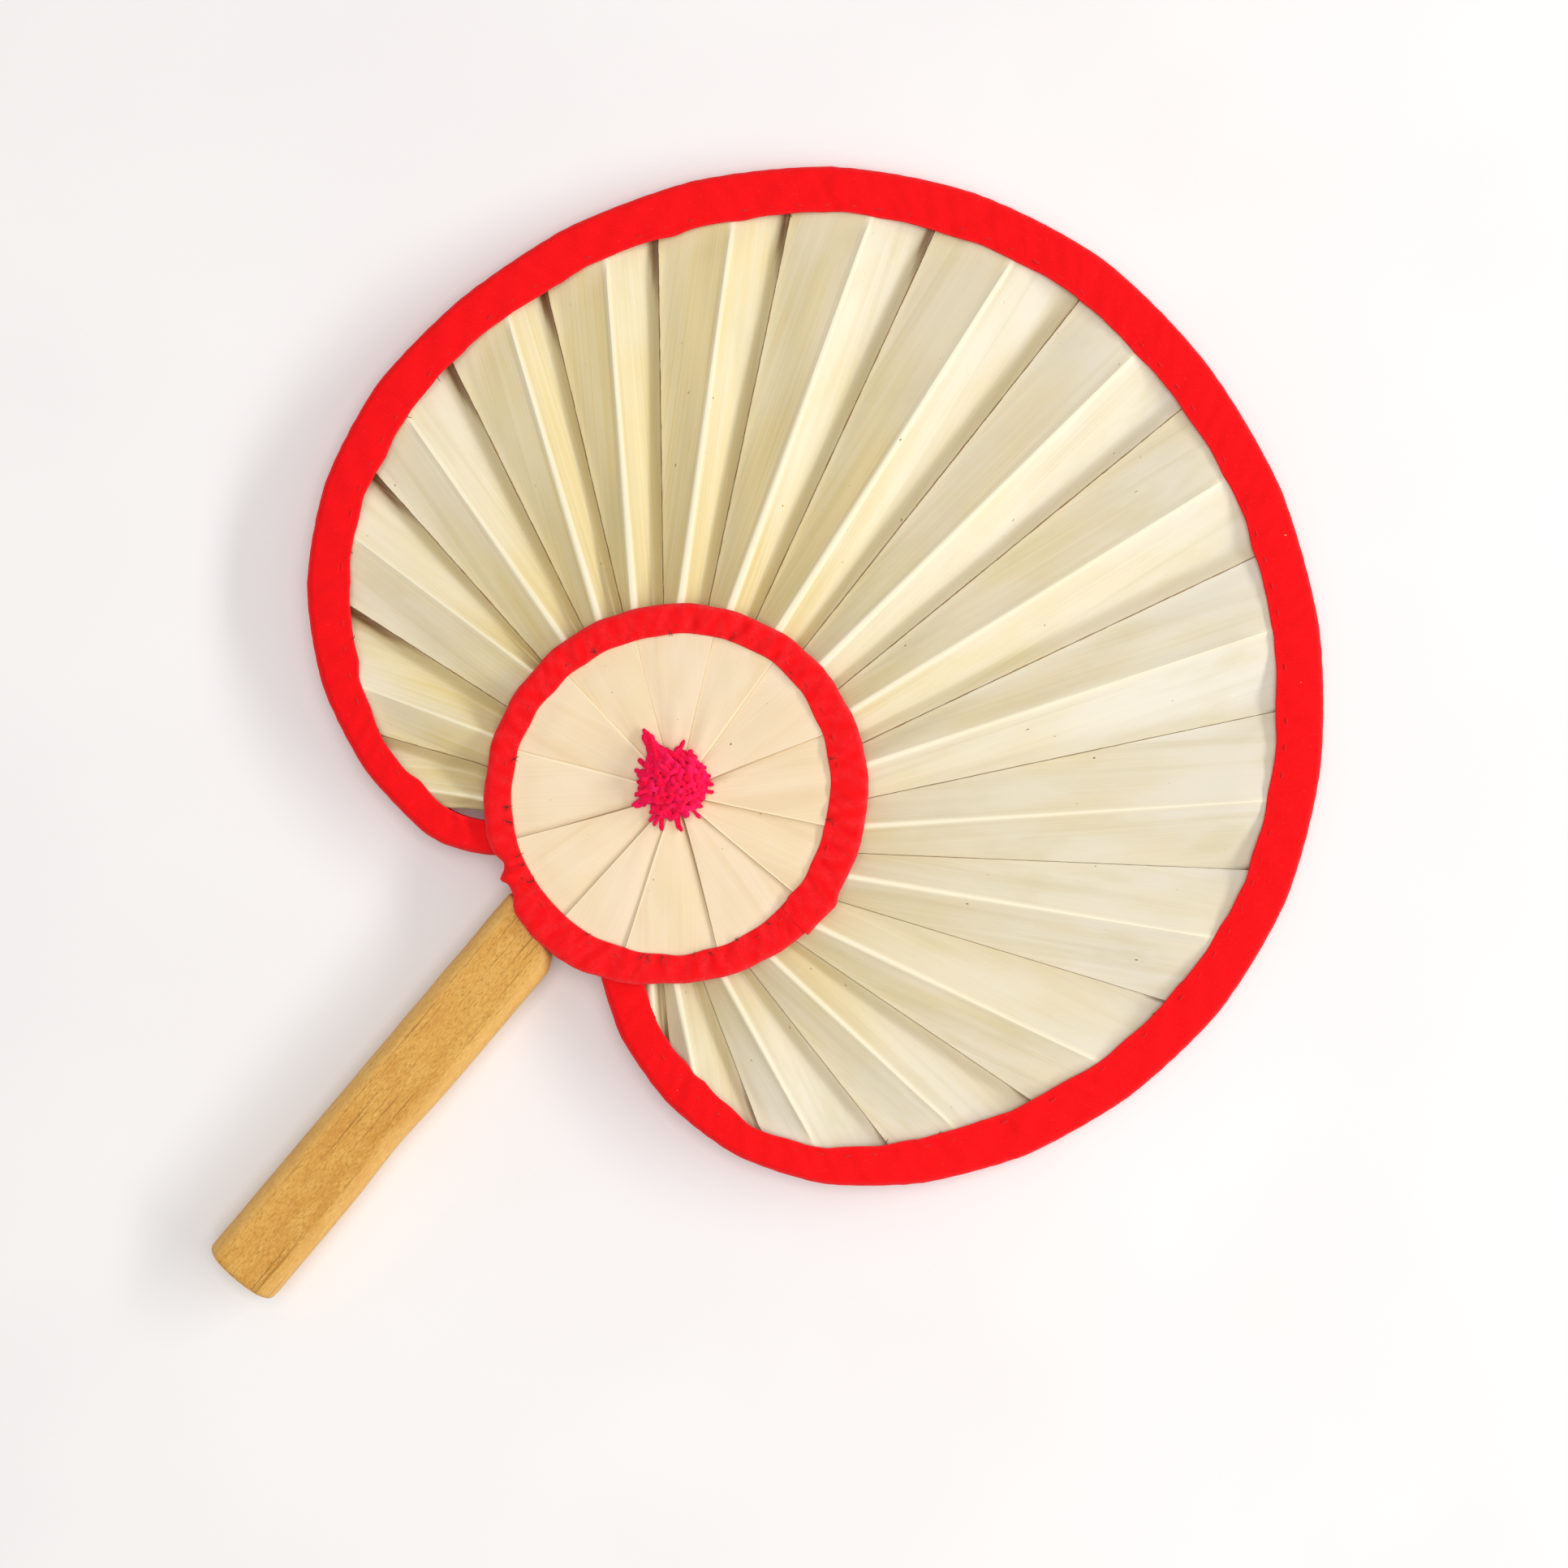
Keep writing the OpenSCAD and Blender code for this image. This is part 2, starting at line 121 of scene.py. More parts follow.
def wave(x, step, seed, parts=5):
    """A smooth random wave of about unit size, whose bumps are about step apart."""
    rng = np.random.default_rng(seed)
    rates = rng.uniform(0.5, 1.6, parts) / step
    starts = rng.uniform(0, 2 * pi, parts)
    total = sum(np.sin(2 * pi * rate * x + start) for rate, start in zip(rates, starts))
    return total / np.sqrt(parts / 2) / 1.4


def wave2(x, y, step_x, step_y, seed, parts=6):
    """The same in two directions."""
    rng = np.random.default_rng(seed)
    total = 0
    for _ in range(parts):
        u = rng.uniform(0.4, 1.3) / step_x * rng.choice([-1, 1])
        v = rng.uniform(0.3, 1.3) / step_y
        total = total + np.sin(2 * pi * (u * x + v * y) + rng.uniform(0, 2 * pi))
    return total / np.sqrt(parts / 2) / 1.4


def lengths_along(points):
    steps = np.linalg.norm(np.diff(points, axis=0), axis=1)
    return np.concatenate([[0], np.cumsum(steps)])


def resample(points, step):
    """The same polyline with points about step apart."""
    along = lengths_along(points[:, :2])
    count = int(along[-1] / step) + 2
    at = np.linspace(0, along[-1], count)
    return np.stack([np.interp(at, along, points[:, k]) for k in range(points.shape[1])], -1)


def softened(points, passes):
    """Rounds the corners of a polyline, and keeps its ends."""
    points = points.copy()
    for _ in range(passes):
        points[1:-1] = (points[:-2] + 2 * points[1:-1] + points[2:]) / 4
    return points


# ---------- shape of the leaf ----------

def edge_r(a):
    """Reach of the cloth edge from the hub: a round blade with two lobes that curl in."""
    p = np.radians(a - 6.6)
    return (126 + 88.8 * np.cos(p) - 7.7 * np.cos(2 * p) + 3.7 * np.cos(3 * p)
            + 1.4 * np.cos(np.radians(5 * (a + 15.5))))


def rim_w(a):
    """Width of the binding."""
    narrow = smooth((a - 92) / 30) + 0.8 * smooth((-94 - a) / 22)
    return BINDING_W - 1.2 * smooth((-30 - a) / 30) - LOBE_NARROWING * narrow


def edge_pleat(a):
    """Height of the pleats inside the binding."""
    return 1.8 + 2.2 * (smooth((-20 - a) / 50) + 0.6 * smooth((a - 100) / 35))


def edge_half(a):
    """Half height of the binding, over the pleats and its own layers."""
    return edge_pleat(a) / 2 + 0.25 + 0.5 + LAYERS_T


def edge_z(a):
    """Mid height of the edge: the far side lies on the table, and both lobes rise to the rosette."""
    rise = np.maximum(smooth((-8 - a) / 90), smooth((a - 62) / 72))
    return mix(edge_half(a), INNER_Z - 0.4, rise)


def edge_slant(a):
    """How much longer a line from the hub is across the binding than one square to it."""
    slope = (edge_r(a + 2) - edge_r(a - 2)) / (edge_r(a) * radians(4))
    return np.sqrt(1 + slope * slope)


def seam_lean(a):
    """How many degrees further round a seam starts at the rosette than it ends at the edge."""
    return 8 * bump(a, -72, 42) + 2 * bump(a, 40, 45)


def ridge_lean(a):
    """The same for a ridge."""
    return 13 * bump(a, -84, 25) + 1.5 * bump(a, 70, 25)


def valley_side(a):
    """1 where a valley's bottom lies before its seam, -1 where it lies after it."""
    return 1 - 2 * smooth((a - 20) / 70)


def depth_inside(xy):
    """Angle about the hub, and distance in from the cloth's fold."""
    a = np.degrees(np.arctan2(xy[:, 0] - HUB[0], xy[:, 1] - HUB[1]))
    r = np.hypot(xy[:, 0] - HUB[0], xy[:, 1] - HUB[1])
    return a, (edge_r(a) - r) / edge_slant(a)


ROWS_IN = 12
ROWS_OUT = 64


def leaf_line(a, lean):
    """Rows of x, y, mid height, pleat height and distance in from the binding, from the hub outwards."""
    inner = polar(HUB, INNER_R, a + lean)
    middle = polar(HUB, 30, a + 0.9 * lean)
    start = polar(HUB, HUB_R, a + 0.7 * lean)
    tip = polar(HUB, edge_r(a) - (FOLD_R + 0.15) * edge_slant(a), a)
    straight = max(0.02, 1 - rim_w(a) * edge_slant(a) / np.linalg.norm(tip - inner))
    t = np.linspace(0, 1, ROWS_IN, endpoint=False)[:, None]
    xy_in = np.where(t < 0.45, mix(start, middle, t / 0.45), mix(middle, inner, (t - 0.45) / 0.55))
    s = np.linspace(0, 1, ROWS_OUT) ** 0.85
    xy = softened(np.concatenate([xy_in, mix(inner, tip, s[:, None])]), 8)
    share = np.clip(s / straight, 0, 1)
    z = np.concatenate([mix(HUB_Z, INNER_Z, t[:, 0]), mix(INNER_Z, edge_z(a), smooth(share))])
    opened = max(PLEAT_OPEN, edge_pleat(a))
    pleat = np.concatenate([mix(PLEAT_HUB, PLEAT_IN, t[:, 0]), mix(PLEAT_IN, opened, share)])
    angle, depth = depth_inside(xy)
    past = depth - rim_w(angle)
    free = smooth((past + 1) / 12)
    z = mix(edge_z(angle), z, free)
    pleat = mix(edge_pleat(angle), pleat, free)
    return np.column_stack([xy, z, pleat, past])


# ---------- making meshes ----------

def plate_faces(rows, cols):
    """Faces of a thin closed plate: a grid of points on its top, then the same points below."""
    i, j = np.meshgrid(np.arange(rows - 1), np.arange(cols - 1), indexing="ij")
    a = (i * cols + j).ravel()
    top = np.stack([a, a + 1, a + cols + 1, a + cols], -1)
    low = top[:, ::-1] + rows * cols
    border = np.concatenate([
        np.arange(cols), np.arange(1, rows) * cols + cols - 1,
        (rows - 1) * cols + np.arange(cols - 2, -1, -1), np.arange(rows - 2, 0, -1) * cols])
    after = np.roll(border, -1)
    side = np.stack([after, border, border + rows * cols, after + rows * cols], -1)
    return np.concatenate([top, low, side])


def ring_faces(rows, size):
    """Quads between rings of points that follow each other."""
    faces = []
    for k in range(rows - 1):
        for j in range(size):
            m = (j + 1) % size
            faces.append((k * size + j, k * size + m, (k + 1) * size + m, (k + 1) * size + j))
    return faces


def cap_faces(rows, size):
    """Triangles that close the first and last ring, each to its own point listed after all the rings."""
    faces = []
    for j in range(size):
        m = (j + 1) % size
        faces.append((rows * size, m, j))
        faces.append((rows * size + 1, (rows - 1) * size + j, (rows - 1) * size + m))
    return faces


def add_mesh(name, points, faces, material, nodes=(), marks=None, sharp=40):
    """A piece from points in millimetres, riding on the fan's one body."""
    mesh = bpy.data.meshes.new(name)
    mesh.from_pydata((np.asarray(points) * MM).tolist(), [], [list(map(int, f)) for f in faces])
    for key, values in (marks or {}).items():
        layer = mesh.attributes.new(key, "FLOAT_VECTOR", "POINT")
        layer.data.foreach_set("vector", np.asarray(values, dtype=np.float32).ravel())
    shape = bmesh.new()
    shape.from_mesh(mesh)
    bmesh.ops.recalc_face_normals(shape, faces=shape.faces)
    shape.to_mesh(mesh)
    shape.free()
    mesh.polygons.foreach_set("use_smooth", [True] * len(mesh.polygons))
    mesh.set_sharp_from_angle(angle=radians(sharp))
    mesh.materials.append(material)
    piece = bpy.data.objects.new(name, mesh)
    bpy.context.scene.collection.objects.link(piece)
    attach(piece, "root")
    if nodes:
        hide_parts(*nodes)
    return piece


def tube(points, radii, sides=8):
    """Rings round a path, with a closed end at each side: points, faces, length along, turn round."""
    points = np.asarray(points, float)
    count = len(points)
    radii = np.broadcast_to(radii, count)
    along = np.gradient(points, axis=0)
    along /= np.linalg.norm(along, axis=1)[:, None] + 1e-9
    side = np.cross(along[0], [0, 0, 1.0])
    if np.linalg.norm(side) < 0.1:
        side = np.cross(along[0], [1.0, 0, 0])
    run = lengths_along(points)
    rings = []
    for k in range(count):
        side = side - along[k] * np.dot(side, along[k])
        side /= np.linalg.norm(side)
        other = np.cross(along[k], side)
        turn = np.linspace(0, 2 * pi, sides, endpoint=False)[:, None]
        rings.append(points[k] + radii[k] * (np.cos(turn) * side + np.sin(turn) * other))
    verts = np.concatenate(rings + [points[:1], points[-1:]])
    faces = ring_faces(count, sides) + cap_faces(count, sides)
    lengths = np.concatenate([np.repeat(run, sides), [run[0], run[-1]]])
    turns = np.concatenate([np.tile(np.arange(sides) / sides, count), [0, 0]])
    return verts, faces, lengths, turns


def add_tubes(name, paths, material, nodes=(), sides=8):
    """One piece made of many tubes. paths holds pairs of points and radii."""
    points, faces, marks = [], [], []
    start = 0
    for number, (path, radii) in enumerate(paths):
        verts, quads, lengths, turns = tube(path, radii, sides)
        points.append(verts)
        faces += [tuple(start + v for v in face) for face in quads]
        marks.append(np.column_stack([lengths, turns, np.full(len(verts), number * 7.31)]))
        start += len(verts)
    return add_mesh(name, np.concatenate(points), faces, material, nodes,
                    {"yarn": np.concatenate(marks)}, sharp=80)


# ---------- materials ----------

class Paint:
    """A material's node tree, built by short calls that return sockets."""

    def __init__(self, name, **fixed):
        self.material = bpy.data.materials.new(name)
        self.material.use_nodes = True
        self.tree = self.material.node_tree
        self.shader = self.tree.nodes["Principled BSDF"]
        for key, value in fixed.items():
            self.shader.inputs[key.replace("_", " ")].default_value = value

    def node(self, kind, settings=(), **inputs):
        made = self.tree.nodes.new("ShaderNode" + kind)
        for key, value in dict(settings).items():
            setattr(made, key, value)
        for key, value in inputs.items():
            self.feed(made.inputs[key], value)
        return made

    def feed(self, socket, value):
        if isinstance(value, bpy.types.NodeSocket):
            self.tree.links.new(value, socket)
        else:
            socket.default_value = value

    def mark(self, name):
        """The three channels of a mesh attribute, and the whole vector."""
        vector = self.node("Attribute", {"attribute_name": name}).outputs["Vector"]
        parts = self.node("SeparateXYZ", Vector=vector).outputs
        return vector, parts[0], parts[1], parts[2]

    def place(self):
        """The object's own coordinates, in millimetres."""
        vector = self.node("TexCoord").outputs["Object"]
        return self.stretch(vector, (1000, 1000, 1000))

    def stretch(self, vector, scale):
        made = self.node("VectorMath", {"operation": "MULTIPLY"})
        self.feed(made.inputs[0], vector)
        made.inputs[1].default_value = scale
        return made.outputs[0]

    def noise(self, vector, scale, detail, rough=0.55, distortion=0.0):
        """Noise over a vector in millimetres, with scale in bumps per millimetre along each axis."""
        return self.node("TexNoise", Vector=self.stretch(vector, scale), Scale=1.0, Detail=detail,
                         Roughness=rough, Distortion=distortion).outputs["Fac"]

    def math(self, operation, *values):
        made = self.node("Math", {"operation": operation})
        for socket, value in zip(made.inputs, values):
            self.feed(socket, value)
        return made.outputs[0]

    def step(self, value, low, high, first=0.0, last=1.0):
        """A smooth step from first to last as value goes from low to high."""
        return self.node("MapRange", {"interpolation_type": "SMOOTHSTEP"}, **{
            "Value": value, "From Min": low, "From Max": high, "To Min": first, "To Max": last}).outputs[0]

    def blend(self, amount, first, second, how="MIX"):
        made = self.node("Mix", {"data_type": "RGBA", "blend_type": how})
        self.feed(made.inputs[0], amount)
        for socket, colour in ((made.inputs[6], first), (made.inputs[7], second)):
            self.feed(socket, colour if isinstance(colour, bpy.types.NodeSocket) else (*colour, 1.0))
        return made.outputs[2]

    def tint(self, colour, value, low, high, most, new):
        """Blends a new colour in as value goes from low to high, up to the share most."""
        return self.blend(self.step(value, low, high, 0.0, most), colour, new)

    def finish(self, colour, roughness, height, depth, strength=1.0):
        """Feeds the shader. depth is the height's full size in millimetres."""
        relief = self.node("Bump", Strength=strength, Distance=depth * MM, Height=height)
        self.feed(self.shader.inputs["Base Color"], colour)
        self.feed(self.shader.inputs["Roughness"], roughness)
        self.feed(self.shader.inputs["Normal"], relief.outputs[0])
        return self.material


def leaf_paint():
    """Dried palm leaf: fine veins along each leaflet, a pale midrib, brown seams, small specks and painted
    shade.
    """
    paint = Paint("dried_palm_leaf", Specular_IOR_Level=0.4)
    grain, _, _, _ = paint.mark("grain")
    _, seam, rib, warm = paint.mark("marks")
    # brown stains with painted shadow, and painted valley shade
    _, stain_and_shadow, valley_shade, _ = paint.mark("stain_and_shade")
    _, painted_pleat_shade, worn_seam, _ = paint.mark("shade")
    veins = paint.noise(grain, (2.4, 0.012, 1.0), 4, 0.6)
    fibres = paint.noise(grain, (0.30, 0.006, 1.0), 3)
    cloud = paint.noise(grain, (0.075, 0.022, 1.0), 3)
    warmth = paint.math("ADD", warm, paint.step(cloud, 0.35, 0.7, -0.15, 0.28))
    colour = paint.blend(warmth, (0.835, 0.79, 0.685), (0.765, 0.62, 0.28))
    colour = paint.tint(colour, veins, 0.3, 0.72, 0.45, (0.88, 0.815, 0.64))
    colour = paint.tint(colour, fibres, 0.48, 0.72, 0.28, (0.62, 0.52, 0.28))
    olive = paint.step(paint.noise(grain, (0.11, 0.035, 1.0), 3, 0.6), 0.5, 0.75, 0.0, 0.3)
    colour = paint.blend(olive, colour, (0.66, 0.59, 0.33))
    # painted shade: the pleats' shaded panels are multiplied darker
    colour = paint.blend(painted_pleat_shade, colour, (0.895, 0.875, 0.83), "MULTIPLY")
    # painted shade deep in the valleys and beside the seams near the rosette
    colour = paint.blend(paint.math("MULTIPLY", valley_shade, 0.75), colour, (0.47, 0.36, 0.15))
    colour = paint.blend(paint.math("MULTIPLY", rib, 0.8), colour, (0.94, 0.88, 0.66))
    blotch = paint.noise(grain, (0.35, 0.16, 1.0), 2, 0.5)
    speck = paint.step(paint.noise(grain, (1.1, 0.42, 1.0), 1, 0.4), 0.775, 0.81)
    speck = paint.math("MULTIPLY", speck, paint.step(blotch, 0.55, 0.65))
    colour = paint.blend(speck, colour, (0.22, 0.13, 0.05))
    worn = paint.noise(grain, (0.05, 0.22, 1.0), 3, 0.6)
    reach = paint.step(worn, 0.3, 0.7, 0.10, 0.26)
    line = paint.step(paint.math("SUBTRACT", seam, reach), -0.06, 0.06, 1.0, 0.0)
    line = paint.math("MULTIPLY", line, paint.step(worn, 0.3, 0.6, 0.4, 0.9))
    line = paint.math("MULTIPLY", line, worn_seam)
    colour = paint.blend(line, colour, (0.40, 0.215, 0.065))
    # brown stains with painted shadow where the valleys run into the binding
    stain_and_shadow_mask = paint.math("MULTIPLY", stain_and_shadow, paint.step(veins, 0.25, 0.6, 0.75, 1.0))
    colour = paint.blend(stain_and_shadow_mask, colour, (0.17, 0.075, 0.02))
    rough = paint.step(veins, 0.3, 0.7, 0.38, 0.5)
    return paint.finish(colour, rough, paint.math("ADD", veins, fibres), 0.05, 0.7)


def wedge_paint():
    """The rosette's leaf: thinner, creamier, with very fine straight veins, pale cut edges, painted shade and
    painted shadows.
    """
    paint = Paint("rosette_palm_leaf", Specular_IOR_Level=0.35)
    grain, _, _, _ = paint.mark("grain")
    _, edge, tone, shade = paint.mark("marks")
    _, lap_shadow, lap_shadow_strength, _ = paint.mark("lap_shadow")
    veins = paint.noise(grain, (2.6, 0.016, 1.0), 4, 0.65)
    fibres = paint.noise(grain, (0.22, 0.012, 1.0), 2)
    cloud = paint.noise(grain, (0.09, 0.05, 1.0), 3)
    colour = paint.blend(tone, (0.835, 0.66, 0.455), (0.82, 0.64, 0.365))
    colour = paint.tint(colour, cloud, 0.35, 0.7, 0.6, (0.87, 0.705, 0.51))
    colour = paint.tint(colour, veins, 0.3, 0.75, 0.42, (0.93, 0.77, 0.56))
    colour = paint.tint(colour, fibres, 0.5, 0.72, 0.4, (0.74, 0.545, 0.29))
    speck = paint.step(paint.noise(grain, (1.3, 0.6, 1.0), 1, 0.4), 0.80, 0.83)
    colour = paint.blend(speck, colour, (0.30, 0.17, 0.08))
    colour = paint.blend(paint.step(edge, 0.0, 0.55, 0.9, 0.0), colour, (0.93, 0.80, 0.52))
    # painted shade near the rosette's middle
    colour = paint.blend(paint.math("MULTIPLY", shade, 0.8), colour, (0.50, 0.30, 0.10))
    # painted shadow: a soft dark strip and a thin brown line beside the edge of the wedge above
    soft_lap_shadow = paint.math("MULTIPLY", paint.step(lap_shadow, 0.2, 2.2, 0.35, 0.0), lap_shadow_strength)
    colour = paint.blend(soft_lap_shadow, colour, (0.55, 0.36, 0.16))
    line = paint.math("MULTIPLY", paint.step(lap_shadow, 0.12, 0.34, 0.8, 0.0), lap_shadow_strength)
    line = paint.math("MULTIPLY", line, paint.step(cloud, 0.3, 0.6, 0.6, 1.0))
    colour = paint.blend(line, colour, (0.36, 0.185, 0.06))
    rough = paint.step(veins, 0.3, 0.7, 0.4, 0.52)
    return paint.finish(colour, rough, paint.math("ADD", veins, fibres), 0.03, 0.6)


def cloth_paint(name, colour, pale):
    """Plain-woven cotton cut on the bias, a little paler and fluffier where it is worn."""
    paint = Paint(name, Specular_IOR_Level=0.1, Sheen_Weight=0.12, Sheen_Roughness=0.4,
                  Sheen_Tint=(1.0, 0.3, 0.32, 1.0))
    cloth, along, across, wear = paint.mark("cloth")
    pitch = 0.42
    u = paint.math("MULTIPLY", paint.math("ADD", along, across), 0.7071 / pitch)
    v = paint.math("MULTIPLY", paint.math("SUBTRACT", along, across), 0.7071 / pitch)
    cell = paint.node("CombineXYZ", X=u, Y=v, Z=0.25).outputs[0]
    over = paint.node("TexChecker", Vector=cell, Scale=1.0).outputs["Fac"]
    weft = paint.math("ABSOLUTE", paint.math("SINE", paint.math("MULTIPLY", u, pi)))
    warp = paint.math("ABSOLUTE", paint.math("SINE", paint.math("MULTIPLY", v, pi)))
    weave = paint.math("ADD", paint.math("MULTIPLY", weft, over),
                       paint.math("MULTIPLY", warp, paint.math("SUBTRACT", 1.0, over)))
    slub = paint.noise(cloth, (0.9, 0.9, 1.0), 3, 0.6)
    cloud = paint.noise(cloth, (0.05, 0.08, 1.0), 3)
    dark = tuple(0.98 * c for c in colour)
    # painted shade: a little darker between the threads of the weave
    shade = paint.blend(paint.step(weave, 0.05, 0.8), dark, colour)
    shade = paint.tint(shade, cloud, 0.4, 0.7, 0.25, dark)
    shade = paint.tint(shade, slub, 0.6, 0.8, 0.35, pale)
    worn = paint.math("MULTIPLY", wear, paint.step(slub, 0.3, 0.7, 0.35, 1.0))
    shade = paint.blend(worn, shade, pale)
    lint = paint.step(paint.noise(cloth, (0.8, 0.6, 1.0), 1, 0.3), 0.83, 0.86)
    shade = paint.blend(lint, shade, (0.95, 0.55, 0.42))
    height = paint.math("ADD", weave, paint.math("MULTIPLY", slub, 0.6))
    return paint.finish(shade, 0.88, height, 0.08, 0.9)


def yarn_paint(name, colour, dark, pale):
    """Plied wool: twisted plies along each strand with painted shade in their grooves, fuzz, and strands
    paler by random amounts as painted highlights.
    """
    paint = Paint(name, Specular_IOR_Level=0.08, Sheen_Weight=0.4, Sheen_Roughness=0.5,
                  Sheen_Tint=(1.0, 0.15, 0.45, 1.0))
    _, along, turn, number = paint.mark("yarn")
    twist = paint.math("ADD", paint.math("MULTIPLY", along, 0.75), paint.math("MULTIPLY", turn, 2.0))
    ply = paint.math("ABSOLUTE", paint.math("SINE", paint.math("MULTIPLY", twist, pi)))
    fuzz = paint.noise(paint.place(), (2.2, 2.2, 2.2), 3, 0.65)
    strand = paint.node("TexWhiteNoise", {"noise_dimensions": "1D"}, W=number).outputs["Value"]
    # painted shade in the grooves between the plies
    shade = paint.blend(paint.step(ply, 0.05, 0.7), dark, colour)
    # painted highlights: strands paler by random amounts
    shade = paint.blend(paint.math("MULTIPLY", strand, 0.7), shade, pale)
    shade = paint.tint(shade, fuzz, 0.45, 0.75, 0.45, pale)
    return paint.finish(shade, 0.9, paint.math("ADD", ply, fuzz), 0.08, 0.7)


def thread_paint(name, colour, dark):
    """Thin twisted sewing thread, with painted shade in the grooves of its twist."""
    paint = Paint(name, Specular_IOR_Level=0.3, Sheen_Weight=0.2)
    _, along, turn, _ = paint.mark("yarn")
    twist = paint.math("ADD", paint.math("MULTIPLY", along, 2.0), turn)
    ply = paint.math("ABSOLUTE", paint.math("SINE", paint.math("MULTIPLY", twist, pi)))
    # painted shade in the twist's grooves
    return paint.finish(paint.blend(paint.step(ply, 0.1, 0.6), dark, colour), 0.75, ply, 0.05)


def wood_paint():
    """Oiled golden hardwood: soft figure, dense short flecks, long dark grain lines, paler rubbed edges."""
    paint = Paint("oiled_wood", Specular_IOR_Level=0.35)
    place = paint.place()
    _, rub, end, _ = paint.mark("wear")
    bands = paint.noise(place, (0.16, 0.012, 0.16), 3, 0.5, 0.6)
    figure = paint.noise(place, (0.30, 0.10, 0.30), 4, 0.65, 0.5)
    flecks = paint.noise(place, (2.6, 0.62, 2.6), 4, 0.75, 0.4)
    grain = paint.noise(place, (0.95, 0.022, 0.95), 5, 0.7, 0.25)
    pores = paint.noise(place, (2.4, 0.30, 2.4), 2, 0.5)
    colour = paint.blend(paint.step(bands, 0.35, 0.65), (0.735, 0.385, 0.068), (0.635, 0.29, 0.037))
    colour = paint.tint(colour, figure, 0.4, 0.66, 0.7, (0.79, 0.455, 0.108))
    colour = paint.tint(colour, flecks, 0.50, 0.62, 0.72, (0.47, 0.20, 0.022))
    colour = paint.tint(colour, flecks, 0.46, 0.34, 0.6, (0.90, 0.55, 0.155))
    colour = paint.tint(colour, grain, 0.57, 0.68, 0.8, (0.33, 0.14, 0.02))
    colour = paint.tint(colour, pores, 0.68, 0.74, 0.8, (0.22, 0.09, 0.02))
    colour = paint.blend(paint.math("MULTIPLY", rub, 0.45), colour, (0.80, 0.50, 0.17))
    colour = paint.blend(paint.math("MULTIPLY", end, 0.5), colour, (0.46, 0.23, 0.055))
    rough = paint.step(figure, 0.3, 0.7, 0.45, 0.62)
    height = paint.math("SUBTRACT", flecks, paint.math("MULTIPLY", paint.step(grain, 0.58, 0.70), 0.8))
    return paint.finish(colour, rough, height, 0.12, 0.7)


def stalk_paint():
    """The dry stub of the leaf's stalk, in the object's own coordinates."""
    paint = Paint("dry_stalk", Specular_IOR_Level=0.35)
    place = paint.place()
    fibres = paint.noise(place, (1.8, 0.06, 1.8), 4, 0.6)
    cloud = paint.noise(place, (0.15, 0.1, 0.15), 3)
    colour = paint.blend(paint.step(fibres, 0.35, 0.7), (0.55, 0.40, 0.17), (0.72, 0.60, 0.34))
    colour = paint.tint(colour, cloud, 0.5, 0.7, 0.4, (0.36, 0.22, 0.09))
    return paint.finish(colour, 0.6, fibres, 0.12)


def steel_paint():
    """Plain bright tacks, a little tarnished."""
    paint = Paint("tack_steel", Metallic=1.0)
    place = paint.place()
    tarnish = paint.noise(place, (0.9, 0.9, 0.9), 4, 0.6)
    colour = paint.blend(paint.step(tarnish, 0.4, 0.7), (0.60, 0.59, 0.57), (0.33, 0.28, 0.22))
    return paint.finish(colour, paint.step(tarnish, 0.3, 0.7, 0.25, 0.5), tarnish, 0.03)


def floor_paint():
    """A white painted table with a faint linen-like brush texture."""
    paint = Paint("pale_table", Specular_IOR_Level=0.25)
    place = paint.place()
    brush = paint.noise(place, (0.9, 0.05, 1.0), 3)
    cloud = paint.noise(place, (0.006, 0.006, 0.006), 3)
    colour = paint.blend(paint.step(cloud, 0.3, 0.7), (0.90, 0.872, 0.868), (0.93, 0.912, 0.905))
    return paint.finish(colour, 0.7, brush, 0.04, 0.5)


LEAF = leaf_paint()
WEDGE = wedge_paint()
CLOTH = cloth_paint("red_cotton", (1.0, 0.006, 0.009), (1.0, 0.07, 0.08))
YARN = yarn_paint("pink_wool", (1.0, 0.003, 0.04), (0.93, 0.001, 0.016), (1.0, 0.015, 0.16))
RED_THREAD = thread_paint("red_thread_paint", (0.74, 0.008, 0.012), (0.45, 0.004, 0.006))
BROWN_THREAD = thread_paint("brown_thread_paint", (0.075, 0.022, 0.011), (0.03, 0.009, 0.005))
WOOD = wood_paint()
STALK = stalk_paint()
STEEL = steel_paint()


# ---------- leaflets ----------

# where a panel's columns lie, from its seam to its ridge
PANEL_U = np.array([0, 0.018, 0.05, 0.1, 0.17, 0.24, 0.3, 0.36, 0.43, 0.52, 0.62, 0.73, 0.83, 0.91, 0.96])
SEAM_LIFT = 0.4                 # height of a panel's seam, as a share of its pleat


def panel_height(u, seam_h, valley, valley_u):
    """Height over a panel from its seam, 0, to its ridge, 1, as a share of the pleat's height."""
    plain = mix(seam_h, 1, u)
    fall = seam_h * (1 - smooth(u / valley_u))
    climb = np.clip((u - valley_u * 0.7) / (1 - valley_u * 0.7), 0, 1) ** 1.4
    return mix(plain, fall + climb, valley)


def panel_columns(width, rib_w, side, rows):
    """Columns of a panel, left to right: share of the way from seam to ridge, and lift onto the rib."""
    gap = np.minimum(0.1, 0.06 / width)
    shoulder = 1 - np.minimum(0.3, (rib_w / 2 + 0.3) / width)
    made = [(mix(gap, shoulder, u), 0.0) for u in PANEL_U]
    made += [(1 - np.minimum(0.25, rib_w * off / width), lift) for off, lift in ((0.5, 0.75), (0.36, 1.0))]
    made = made[::-1] if side > 0 else made + [(np.ones(rows), 1.0)]
    return made, shoulder


